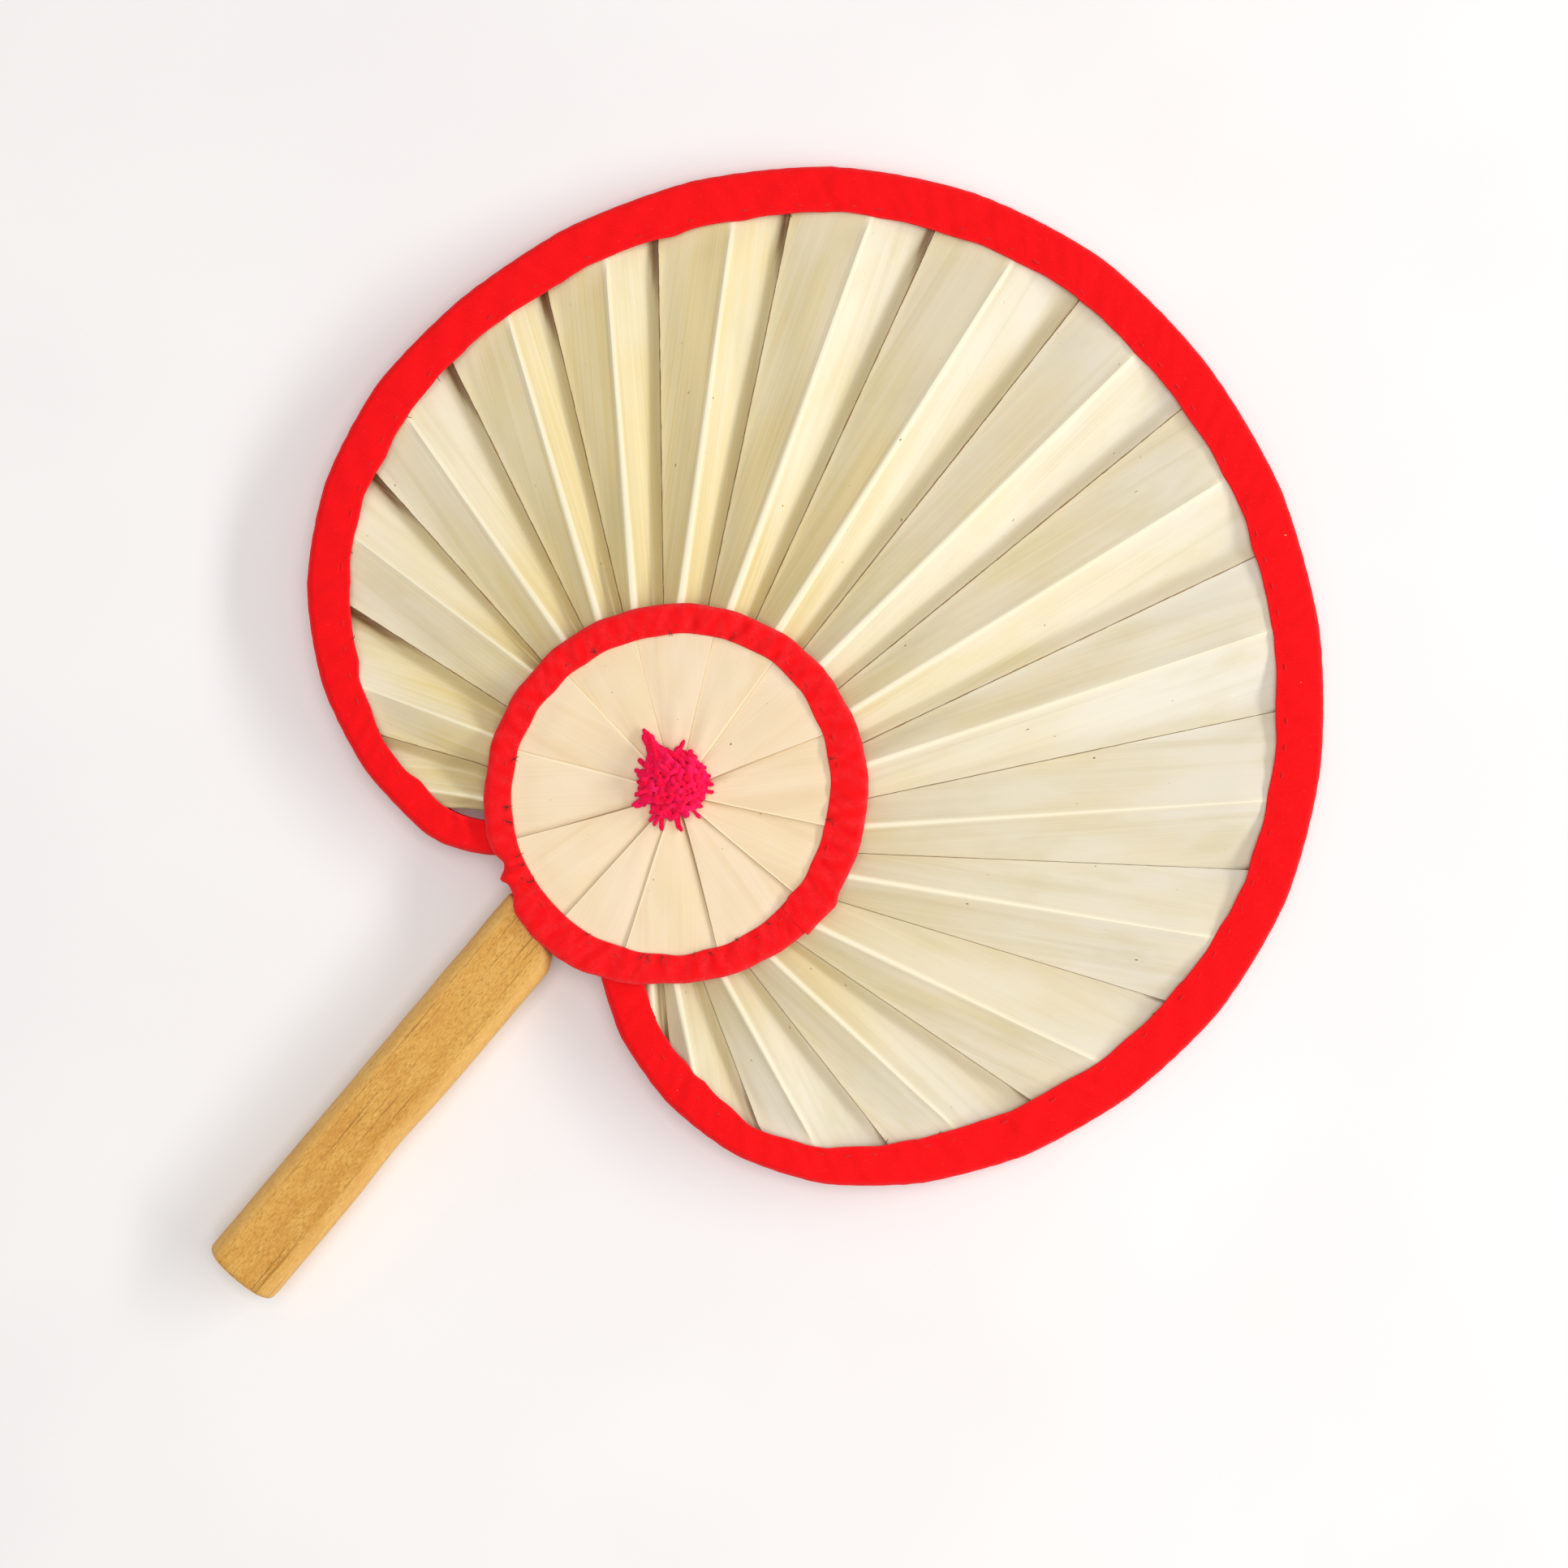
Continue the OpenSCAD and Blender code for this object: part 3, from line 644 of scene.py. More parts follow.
def valley_stain_and_shadow(a, past, seam_mm):
    """Brown stains with painted shadow where a valley meets the binding: long ones towards -X, short notches
    of painted shadow towards +X.
    """
    near = smooth(1 - past / 24) * smooth((10 - a) / 30) * smooth((a + 112) / 12)
    stain_and_shadow = near * smooth((0.5 + 2.6 * near - seam_mm) / 0.9)
    notch_shadow = smooth(1 - past / 7) * smooth((a - 10) / 40)
    notch_shadow = notch_shadow * smooth((0.3 + 1.1 * notch_shadow - seam_mm) / 0.6)
    return np.maximum(stain_and_shadow, 0.8 * notch_shadow)


def painted_valley_shade(a, share, valley, outward, near_hub):
    """Painted shade: darker leaf deep in a valley, and beside every seam near the rosette, weaker towards +X.
    """
    in_valley = smooth(1 - share / mix(0.75, 0.36, outward))
    beside = near_hub * smooth(1 - share / 0.45) * 0.8
    return mix(beside, in_valley, valley) * (0.45 + 0.55 * smooth((40 - a) / 80))


def add_leaflet(i):
    """One leaflet: two panels that rise from its seams to a rib along its ridge."""
    ridge_a = RIDGES[i]
    ridge = leaf_line(ridge_a, ridge_lean(ridge_a))
    rows = len(ridge)
    zero = np.zeros(rows)
    run = lengths_along(ridge[:, :2])
    past = ridge[:, 4]
    outward = smooth((run - 35) / (run[-1] - 35))
    hold = smooth(past / 5)
    near_hub = 1 - smooth((run - 20) / 60)
    valley_u = mix(0.5, 0.26, outward)
    rib_size = mix(0.45, 1, smooth((ridge_a + 88) / 35)) * mix(1, 0.7, smooth(ridge_a / 30))
    rib_w = mix(1.9, 0.8, outward) * rib_size
    rib_h = 0.45 * hold * rib_size
    tone = np.random.default_rng(100 + i).uniform(-0.12, 0.12)
    seed = 40 * i
    columns, grain, marks, stain_and_shade, shades = [], [], [], [], []
    for side, a in zip((-1, 1), SEAMS[i:i + 2]):
        line = leaf_line(a, seam_lean(a))
        skew = valley_side(a)
        valley = max(0, skew * side)
        lip = 0.0 if valley > 0 else abs(skew) * (0.25 + 0.9 * smooth((-10 - a) / 40) * bump(past, 0, 14))
        width = np.linalg.norm(line[:, :2] - ridge[:, :2], axis=1)
        turned = 0.11 + 0.62 * bump(a, -42, 30) + 0.22 * smooth((-60 - a) / 25)
        warm = np.clip(turned + 0.5 * (1 - outward) + tone, 0, 1)
        # painted shade: the panel from the lower-angle seam is always darker, the other panel only towards +X
        painted_pleat_shade = 1.0 if side < 0 else smooth((a - 30) / 25)
        seam_strength = mix(0.25, 1, smooth((60 - a) / 50))
        shade = np.column_stack([zero + painted_pleat_shade, zero + seam_strength, zero])
        made, shoulder = panel_columns(width, rib_w, side, rows)
        for share, lift in made:
            m = mix(line, ridge, share[:, None])
            across = side * width * (1 - share)
            seam_mm = share * width
            h = panel_height(np.minimum(share / shoulder, 1), SEAM_LIFT * abs(skew), valley, valley_u)
            ripple = wave2(run, across, 60, 22, seed + 3) * 0.22
            ripple = ripple * np.sin(pi * np.clip(share, 0, 1)) * hold
            lipped = lip * smooth(1 - seam_mm / 1.6) * hold
            z = m[:, 2] + (h - 0.5) * m[:, 3] + LEAF_T / 2 + lift * rib_h + ripple + lipped
            columns.append(np.column_stack([m[:, :2], z]))
            grain.append(np.column_stack([across, run, zero + seed + 11.7]))
            marks.append(np.column_stack([seam_mm, zero + lift * (0.4 + 0.6 * rib_size), warm]))
            # brown stains with painted shadow by the binding, and painted shade in the valleys
            stain_and_shadow = valley_stain_and_shadow(a, past, seam_mm) if valley > 0 else zero
            stain_and_shade.append(np.column_stack([stain_and_shadow, painted_valley_shade(a, share, valley, outward, near_hub), zero]))
            shades.append(shade)
    top = np.stack(columns, 1)
    rows, cols = top.shape[:2]
    both = {"grain": grain, "marks": marks, "stain_and_shade": stain_and_shade, "shade": shades}
    both = {key: np.tile(np.stack(value, 1).reshape(-1, 3), (2, 1)) for key, value in both.items()}
    points = np.concatenate([top.reshape(-1, 3), (top - [0, 0, LEAF_T]).reshape(-1, 3)])
    name = f"leaflet_{i + 1:02d}"
    add_mesh(name + "_leaf", points, plate_faces(rows, cols), LEAF, [name], both, 35)


for number in range(len(RIDGES)):
    add_leaflet(number)


# ---------- cloth bindings ----------

TURN_IN = 4.0                   # cloth turned in under each inner edge


def strip_section(w, half):
    """Middle line of the folded cloth at one place: q inwards from the fold, and height. Front first."""
    skin = half - CLOTH_T / 2
    roll = CLOTH_T / 2 + 0.02
    low = skin - 2 * roll
    curl = [(w - roll + roll * np.sin(t), skin - roll - roll * np.cos(t)) for t in np.linspace(0, pi, 6)]
    face = [(w - roll - (w - roll - 2.0) * t, skin) for t in np.linspace(0.05, 1, 15)]
    turn = np.linspace(0, pi, 11)[1:-1]
    fold = [(2.0 - 1.82 * np.sin(t), skin * np.cos(t)) for t in turn]
    front = [(w - TURN_IN, low), (w - TURN_IN / 2, low)] + curl + face
    back = [(q, -z) for q, z in front[::-1]]
    return np.array(front + fold + back)


def square_in(path):
    """Directions square to a clockwise path, pointing inwards."""
    tangent = unit(np.gradient(path[:, :2], axis=0))
    return np.column_stack([tangent[:, 1], -tangent[:, 0]])


def cloth_strip(name, path, inwards, w, half, swell, dent, nodes, lift=None, rub=0.0, seed=1):
    """A folded strip of cotton along a clockwise path of x, y and mid height.

    inwards, w, half, swell, dent and lift hold one value for each point of the path. w is the visible width,
    half is half the height, swell rounds the faces, dent presses the stitches in, lift raises the front and
    rub wears the cloth in patches.
    """
    count = len(path)
    along = lengths_along(path[:, :2])
    outer, inner, marks = [], [], []
    for k in range(count):
        section = strip_section(w[k], half[k])
        step = unit(np.gradient(section, axis=0))
        normal = np.column_stack([-step[:, 1], step[:, 0]])
        if np.sum((section - section.mean(axis=0)) * normal) <= 0:
            normal = -normal
        run = lengths_along(section)
        q, z = section[:, 0], section[:, 1]
        room_below = np.clip((path[k, 2] - half[k]) / 0.9, 0, 1)
        face = np.where(z > 0, 1.0, -room_below) * smooth(np.abs(z) / half[k] * 1.6 - 0.4)
        crown = swell[k] * np.sin(pi * np.clip(q / w[k], 0, 1)) ** 0.8
        pucker = 0.2 * wave2(along[k], q, 9, 16, seed + 5) + 0.11 * wave2(along[k], q, 3.6, 7, seed + 6)
        press = dent[k] * bump(q, w[k] - 2.2, 1.1)
        move = (crown + pucker * smooth(q / 3) - press) * face
        if lift is not None:
            move = move + lift[k] * (z > 0)
        ripple = 0.05 * wave(along[k] + 0 * q, 7.0, seed + 8) * (1 - smooth(q / 2.5))
        for shell, offset in ((outer, 0.5), (inner, -0.5)):
            dq = q + normal[:, 0] * CLOTH_T * offset + ripple
            dz = z + normal[:, 1] * CLOTH_T * offset + move
            shell.append(np.column_stack([
                path[k, 0] + inwards[k, 0] * dq, path[k, 1] + inwards[k, 1] * dq, path[k, 2] + dz]))
        patches = rub * (1 + wave2(along[k], q, 6, 9, seed + 9))
        wear = np.clip(0.55 * bump(q, 0.2, 0.7) + 0.2 * bump(q, w[k], 0.4) + patches, 0, 1)
        marks.append(np.column_stack([np.full(len(q), along[k]), run, wear]))
    n = len(outer[0])
    loops = np.array([np.concatenate([a, b[::-1]]) for a, b in zip(outer, inner)])
    marks = np.array([np.concatenate([m, m[::-1]]) for m in marks])
    size = 2 * n
    faces = ring_faces(count, size)
    for j in range(n - 1):
        ends = (j, j + 1, size - 2 - j, size - 1 - j)
        faces.append(ends)
        faces.append(tuple((count - 1) * size + v for v in ends[::-1]))
    piece = add_mesh(name, loops.reshape(-1, 3), faces, CLOTH, nodes,
                     {"cloth": marks.reshape(-1, 3)}, sharp=70)


def chord_bow(a, corners, seed, spread):
    """How a cloth edge leaves its arc: a bow between the corners that hold it, and a random step at each."""
    corners = np.sort(corners)
    rng = np.random.default_rng(seed)
    at = rng.uniform(-spread, spread, len(corners))
    phase = np.interp(a, corners, np.arange(len(corners)))
    return np.abs(np.sin(pi * phase)), np.interp(a, corners, at)


def rim_path():
    """x, y, mid height, angle along the leaf's cloth edge. Both ends turn in under the rosette."""
    ends = [np.array([[*polar(HUB, r, a), edge_z(a), a] for r, a in points])
            for points in (((40, -138.2), (46, -136.8), (51.5, -135.2)), ((42, 158), (38.4, 161.4)))]
    a = np.arange(-132, 156.5, 0.5)
    round_edge = np.column_stack([polar(HUB, edge_r(a), a), edge_z(a), a])
    return softened(resample(np.concatenate([ends[0], round_edge, ends[1]]), 1.4), 4)


RIM = rim_path()


def add_rim_cloth():
    """The binding of the blade, held down at every seam and ridge."""
    a = RIM[:, 3]
    along = lengths_along(RIM[:, :2])
    corners = np.array(RIDGES + SEAMS + [-140, -132, 148, 162], float)
    bow, jog = chord_bow(a, corners, 21, 0.5)
    w = rim_w(a) + 0.45 - 0.35 * bow + jog + 0.12 * wave(along, 14, 22) + 1.6 * smooth((a - 122) / 12)
    out_bow, out_jog = chord_bow(a, np.arange(-140, 171, 11.5), 24, 0.3)
    path = RIM[:, :3].copy()
    shift = 0.35 * (1 - out_bow) + out_jog
    path[:, :2] -= square_in(RIM) * shift[:, None]
    swell = 0.25 + 0.10 * wave(along, 22, 25)
    dent = 0.16 * np.abs(np.sin(pi * along / STITCH_PITCH)) ** 8
    cloth_strip("rim_binding_cloth", path, square_in(path), w, edge_half(a), swell, dent, ["rim_binding"],
                seed=30)


add_rim_cloth()


def ring_path(radius, z, first, last):
    """Points round a rosette, one a degree, and their angles. radius is a function of the angle."""
    a = np.arange(first, last + 0.1, 1.0)
    return np.column_stack([polar(ROSETTE, radius(a), a), np.full(len(a), z)]), a


def rosette_edge(a):
    """Outer edge of the front binding, which reaches out over the handle."""
    t = np.radians(a)
    return ROSETTE_R + 3 * np.maximum(0, -np.cos(t)) ** 6 + 0.5 * np.cos(2 * t - radians(40))


LAP_A = 97                      # where the front binding's end lies over its start
PINCH_A = -154.5                # where the front binding is gathered


def ring_inner_r(a):
    """Inner edge of the front binding, which is widest towards +X."""
    t = np.radians(a)
    return 45.3 - 1.3 * np.cos(t - radians(50)) + np.cos(2 * t) + 0.45 * np.cos(3 * t)


def add_front_ring():
    """The front binding, with its lapped end and the place where it is gathered."""
    overlap = 13
    path, a = ring_path(lambda t: rosette_edge(t) + 0.25 * wave(t, 24, 41), FRONT_Z + RING_H / 2,
                        LAP_A - overlap, LAP_A + 360)
    from_pinch = (a - PINCH_A + 180) % 360 - 180
    end = smooth((a - (LAP_A + 360 - overlap - 3)) / 4)
    start = 1 - smooth((a - LAP_A + 11) / 6)
    last = smooth((a - (LAP_A + 360 - 5)) / 4)
    bow, jog = chord_bow(a, np.arange(60, 480, 14), 42, 0.15)
    step_in = smooth((from_pinch + 13) / 7) - smooth(from_pinch / 14)
    lean = 1.2 * end - 2.4 * step_in - 0.5 * start - 0.8 * bump(a, 140, 9)
    lean = lean + 1.7 * bump(from_pinch, -1.8, 1.5) - 1.1 * bump(from_pinch, 2.6, 2.2)
    w = rosette_edge(a) + lean - ring_inner_r(a) - 0.12 * bow + jog - 0.8 * start - 0.6 * last
    spokes = unit(path[:, :2] - np.array(ROSETTE))
    path[:, :2] += spokes * lean[:, None]
    swell = 0.28 + 0.1 * wave(a, 30, 43)
    swell = swell + 1.0 * bump(from_pinch, -1.8, 1.4) - 0.7 * bump(from_pinch, 0.5, 0.7)
    swell = swell + 0.45 * bump(from_pinch, 2.2, 1.0) - 0.6 * bump(from_pinch, -4.2, 0.8)
    swell = swell + 0.4 * bump(from_pinch, -6.2, 1.2) - 0.3 * bump(from_pinch, -8.6, 0.9)
    swell = swell + 0.35 * bump(a, 330, 3) + 0.3 * bump(a, 216, 2)
    dent = 0.25 * np.abs(np.sin(pi * a / STITCH_STEP)) ** 8
    half = np.full(len(a), RING_H / 2)
    cloth_strip("rosette_binding_cloth", path, -spokes, w, half, swell, dent, ["rosette_binding"],
                lift=0.42 * end, rub=0.1, seed=50)


add_front_ring()


def add_back_ring():
    """The back binding, whose ends meet."""
    path, a = ring_path(lambda t: ROSETTE_R - 1 + 0.2 * wave(t, 24, 61), BACK_Z + RING_H / 2, 20, 380)
    bow, jog = chord_bow(a, np.arange(0, 400, 14), 62, 0.3)
    w = ROSETTE_W + 0.35 * bow + jog
    swell = 0.12 + 0.05 * wave(a, 30, 63)
    dent = 0.2 * np.abs(np.sin(pi * a / STITCH_STEP)) ** 8
    half = np.full(len(a), RING_H / 2)
    cloth_strip("back_binding_cloth", path, square_in(path), w, half, swell, dent, ["back_binding"],
                seed=70)


add_back_ring()


# ---------- rosette wedges ----------

def add_wedge(name, a, b, base, seed):
    """One leaf wedge. Its clockwise edge, b, lies high over the next wedge."""
    r_out = ROSETTE_R - FOLD_R - 0.6
    r = mix(YARN_HOLE_R, r_out, np.linspace(0, 1, 30))[:, None]
    share = np.array([0, 0.04, 0.1, 0.18, 0.28, 0.38, 0.5, 0.62, 0.74, 0.85, 0.93, 0.975, 1.0])[None, :]
    span = b - a + WEDGE_OVERLAP
    inner = 1 - r / r_out
    drift = 3.0 * np.sin(seed * 2.3) * inner ** 2 * share
    angle = b - span * (1 - share) + drift
    open_r = smooth((ROSETTE_R - ROSETTE_W - r) / 6) * smooth((r - YARN_HOLE_R) / 5)
    crown = 0.35 * np.sin(pi * share) * open_r
    ripple = 0.12 * wave2(r, share * 25, 30, 14, seed) * open_r * np.sin(pi * np.clip(share, 0.02, 1))
    z = base + WEDGE_T + WEDGE_RISE * share + crown + ripple
    xy = polar(ROSETTE, r, angle)
    top = np.concatenate([xy, z[:, :, None]], -1)
    rows, cols = top.shape[:2]
    middle = radians(1) * (angle - (b - span / 2))
    across = r * np.sin(middle)
    down = r * np.cos(middle)
    grain = np.stack([across, down, np.full_like(across, seed * 13.1)], -1)
    from_edge = np.radians(b - angle) * r
    rng = np.random.default_rng(seed)
    tone = np.full_like(across, rng.uniform(0.1, 0.9))
    # painted shade: darker near the middle, on the side that lies under the previous wedge
    shade = smooth(1 - (r - 9) / 9) * smooth(1 - share / 0.4)
    marks = np.stack([from_edge, tone, 0.8 * shade], -1)
    # painted shadow beside the edge of the wedge above, weak where that edge faces the light
    from_lap = np.maximum(0, np.radians(angle - a) * r)
    lap_shadow = np.stack([from_lap, np.full_like(across, 0.12 + 0.88 * smooth((a - 5) / 55)), 0 * across], -1)
    points = np.concatenate([top.reshape(-1, 3), (top - [0, 0, WEDGE_T]).reshape(-1, 3)])
    both = {"grain": grain, "marks": marks, "lap_shadow": lap_shadow}
    both = {key: np.tile(value.reshape(-1, 3), (2, 1)) for key, value in both.items()}
    faces = plate_faces(rows, cols)
    add_mesh(name + "_leaf", points, faces, WEDGE, [name], both, 35)


ROSETTES = (("rosette", WEDGES, FRONT_Z, 200), ("back", BACK_WEDGES, BACK_Z, 300))

for number in range(12):
    for kind, angles, underside, seed in ROSETTES:
        start, end = (angles + [angles[0] + 360])[number:number + 2]
        add_wedge(f"{kind}_wedge_{number + 1:02d}", start, end, underside + LAYERS_T + 0.1, seed + number)


# ---------- threads ----------

STITCH_R = 0.17


def stitch(centre, direction, length, up=1):
    """Points of one short stitch that dips into the cloth at both ends."""
    t = np.linspace(-1, 1, 7)
    xy = np.array(centre[:2]) + np.outer(t, direction) * length / 2
    z = centre[2] + up * (0.16 - 0.42 * t ** 4)
    return np.column_stack([xy, z]), np.full(7, STITCH_R)


def rim_stitches():
    along = lengths_along(RIM[:, :2])
    inwards = square_in(RIM)
    made = []
    for at in np.arange(34, along[-1] - 26, STITCH_PITCH):
        k = int(np.searchsorted(along, at))
        a = RIM[k, 3]
        xy = RIM[k, :2] + inwards[k] * (rim_w(a) - 2.2)
        z = RIM[k, 2] + edge_half(a) + 0.02
        made.append(stitch((*xy, z), np.array([-inwards[k, 1], inwards[k, 0]]), 2.0))
    return made


add_tubes("rim_thread", rim_stitches(), RED_THREAD, ["rim_stitching"], 6)


def ring_stitches(z, radius, up):
    made = []
    for a in range(0, 360, STITCH_STEP):
        direction = np.array([np.cos(radians(a)), -np.sin(radians(a))])
        made.append(stitch((*polar(ROSETTE, radius(a), a), z), direction, 1.9, up))
    return made


add_tubes("rosette_thread", ring_stitches(FRONT_Z + RING_H + 0.05, lambda a: ring_inner_r(a) + 2.4, 1),
          RED_THREAD, ["rosette_stitching"], 6)
add_tubes("back_thread", ring_stitches(BACK_Z - 0.02, lambda a: ROSETTE_R - ROSETTE_W + 1.6, -1),
          RED_THREAD, ["back_stitching"], 6)


def whisker(base, heading, rng):
    """A stiff brown thread end that stands out from a seam."""
    length = rng.uniform(0.7, 1.7)
    turn = radians(heading)
    t = np.linspace(0, 1, 6)
    bend = rng.uniform(-0.5, 0.5)
    x = base[0] + length * t * np.sin(turn + bend * t)
    y = base[1] + length * t * np.cos(turn + bend * t)
    z = base[2] + rng.uniform(0.2, 0.5) * np.sin(t * pi * 0.7)
    return np.column_stack([x, y, z]), mix(0.13, 0.07, t)


# angles of the brown thread ends, on the front binding and on the rim
RING_ENDS = (-70, -118, -134, -139, -152, -155, -161, 172, 152, 149, 145, 133, 128, 117, 105, 60, 38, 4, -20,
             -43)
RIM_ENDS = (-118, -108, -97, -86, -71, -64, -40, -28, 53, 68, 96, 103, 118, 124)


def thread_ends():
    """Brown ends at the front binding's inner edge, two to four at a place, and single ones at the rim's."""
    rng = np.random.default_rng(77)
    made = []
    for a in RING_ENDS:
        base = (*polar(ROSETTE, ring_inner_r(a) + rng.uniform(0.2, 1.0), a + rng.uniform(-1, 1)),
                FRONT_Z + RING_H + 0.15)
        for _ in range(rng.integers(2, 5)):
            made.append(whisker(base, a + 180 * rng.integers(0, 2) + rng.uniform(-45, 45), rng))
    for a in RIM_ENDS:
        a = a + rng.uniform(-1, 1)
        r = edge_r(a) - (rim_w(a) + 0.2) * edge_slant(a)
        base = (*polar(HUB, r, a), edge_z(a) + edge_half(a) - 0.4)
        made.append(whisker(base, a + 180 + rng.uniform(-80, 80), rng))
    return made


add_tubes("thread_ends", thread_ends(), BROWN_THREAD, sides=5)


# ---------- pompom and knots ----------

POMPOM_R = 10.4
POMPOM_H = 7.2


def at_pompom(points):
    """Moves points from the pompom's own frame, and keeps them off the wedges."""
    x, y, z = np.asarray(points).T
    return np.column_stack([ROSETTE[0] - 2.7 + x, ROSETTE[1] + 1.4 + y, POMPOM_Z + np.maximum(z, 0.75)])


def on_dome(heading, tilt, share=1.0):
    """A point on the pompom's dome and the direction outwards. tilt is 0 at its top and 90 at its foot."""
    out, up = np.sin(radians(tilt)), np.cos(radians(tilt))
    side = np.array([np.sin(heading), np.cos(heading)])
    point = np.array([*(side * POMPOM_R * out * share), POMPOM_H * up * share])
    away = np.array([*(side * out / POMPOM_R), up / POMPOM_H])
    return point, away / np.linalg.norm(away)


def yarn_radii(count, size, frayed=True):
    """Yarn is even along its length and a little fatter where a cut end frays."""
    t = np.linspace(0, 1, count)
    radii = size * (1 + (0.25 * smooth((t - 0.75) / 0.25) if frayed else 0 * t))
    if frayed:
        radii[-1] *= 0.5
    return radii


def loop_path(rng, heading, tilt):
    """A loop of yarn that comes out of the dome and goes back in a little further on."""
    point, away = on_dome(heading, tilt, 0.72)
    across = np.cross(away, rng.normal(size=3))
    across /= np.linalg.norm(across)
    other = np.cross(away, across)
    t = np.linspace(0, 1, 11)[:, None]
    width = rng.uniform(2.2, 4.0)
    height = rng.uniform(1.7, 3.0)
    bend = 0.7 * np.sin(2 * pi * t + rng.uniform(0, 6))
    rise = away * height * np.sin(pi * t) ** 0.7
    return at_pompom(point + across * width * (t - 0.5) + rise + other * bend)


def cut_path(rng, heading, tilt, length, droop):
    """A cut strand that leaves the dome and hangs a little."""
    point, away = on_dome(heading, tilt, 0.55)
    lean = rng.normal(size=3) * 0.3
    t = np.linspace(0, 1, 9)[:, None]
    bend = rng.normal(size=3) * 0.5
    down = np.array([0, 0, -1.0])
    return at_pompom(point + (away + lean) * length * t + bend * np.sin(pi * t) + down * droop * t ** 2)


def tail_path(rng, heading, reach, spread):
    """A strand of the tuft that lies out flat to one side and narrows to a point."""
    t = np.linspace(0, 1, 12)
    side = spread * (1 - t) ** 0.8 + 0.35 * np.sin(2 * pi * t + rng.uniform(0, 6))
    out = 5.5 + (reach - 5.5) * t
    x = out * np.sin(heading) + side * np.cos(heading)
    y = out * np.cos(heading) - side * np.sin(heading)
    z = mix(rng.uniform(2.6, 5.2), 1.0, smooth(t)) + 0.3 * np.sin(5 * t + spread)
    return at_pompom(np.column_stack([x, y, z]))


LOOPS = 72                      # strands that come out of the pompom and go back in
CUT_STRANDS = 62
FRINGE = 46                     # cut strands round the foot
TAIL = 34                       # strands in the tail
TAIL_TURN = -68                 # its direction, in degrees from +Y towards +X
TAIL_REACH = 18.4
STRAYS = ((-158, 13.0, -0.4), (170, 12.6, 0.3), (162, 13.0, -0.5), (128, 13.8, 0.2), (133, 13.0, -0.6),
          (60, 12.0, 0.4))      # turn, reach and spread of the single long strands


def pompom_paths():
    """Pairs of points and radii for every strand, spread evenly over the dome by the golden angle."""
    rng = np.random.default_rng(5)
    made = []
    golden = pi * (3 - 5 ** 0.5)
    for k in range(LOOPS):
        tilt = np.degrees(np.arccos(1 - 0.93 * (k + 0.5) / LOOPS))
        made.append((loop_path(rng, golden * k + rng.uniform(-0.3, 0.3), tilt),
                     yarn_radii(11, rng.uniform(0.68, 0.88), False)))
    for k in range(CUT_STRANDS):
        tilt = np.degrees(np.arccos(1 - 0.97 * (k + 0.5) / CUT_STRANDS)) + rng.uniform(-5, 5)
        path = cut_path(rng, golden * (k + 0.5), tilt, rng.uniform(4.0, 5.2), rng.uniform(0.2, 1.2))
        made.append((path, yarn_radii(9, rng.uniform(0.56, 0.74))))
    for k in range(FRINGE):
        path = cut_path(rng, 2 * pi * k / FRINGE + rng.uniform(-0.08, 0.08), rng.uniform(72, 88),
                        rng.uniform(3.8, 5.2), rng.uniform(0.6, 2.0))
        made.append((path, yarn_radii(9, rng.uniform(0.56, 0.72))))
    for turn, reach, spread in STRAYS:
        made.append((tail_path(rng, radians(turn), reach, spread), yarn_radii(12, 0.55)))
    for _ in range(TAIL):
        heading = radians(TAIL_TURN + rng.uniform(-3, 3))
        spread = rng.uniform(-5, 5)
        reach = TAIL_REACH - 1.25 * abs(spread) + rng.uniform(-2.2, 0.3)
        made.append((tail_path(rng, heading, reach, spread), yarn_radii(12, 0.64)))
    return made


def add_pompom_core():
    """The dense middle of the pompom, a lumpy dome that shows only between the strands."""
    rows, cols = 9, 28
    rings = []
    for tilt in np.linspace(14, 96, rows):
        heading = np.linspace(0, 2 * pi, cols, endpoint=False)
        lumps = 0.8 + 0.05 * np.sin(5 * heading + tilt) + 0.04 * np.sin(9 * heading - tilt)
        out = POMPOM_R * np.sin(radians(min(tilt, 90))) * lumps * (0.85 if tilt > 90 else 1)
        up = np.full(cols, POMPOM_H * 0.8 * np.cos(radians(min(tilt, 88))))
        rings.append(at_pompom(np.column_stack([out * np.sin(heading), out * np.cos(heading), up])))
    top = at_pompom([[0, 0, POMPOM_H * 0.8]])
    foot = rings[-1].copy()
    foot[:, 2] = POMPOM_Z + 0.05
    centre = np.array([[*foot[:, :2].mean(axis=0), POMPOM_Z + 0.05]])
    rings.append(foot)
    points = np.concatenate(rings + [top, centre])
    faces = ring_faces(len(rings), cols) + cap_faces(len(rings), cols)
    marks = np.column_stack([points[:, 0] * 0.9, points[:, 1] * 0.5, np.full(len(points), 3.3)])
    return add_mesh("pompom_core", points, faces, YARN, marks={"yarn": marks}, sharp=80)


pompom = add_tubes("pompom_yarn", pompom_paths(), YARN, ["pompom"], 7)
add_pompom_core()


def at_rosette(x, y, z):
    """Points from their distances from the rosette's middle, and their heights."""
    return np.column_stack([ROSETTE[0] + x, ROSETTE[1] + y, z])


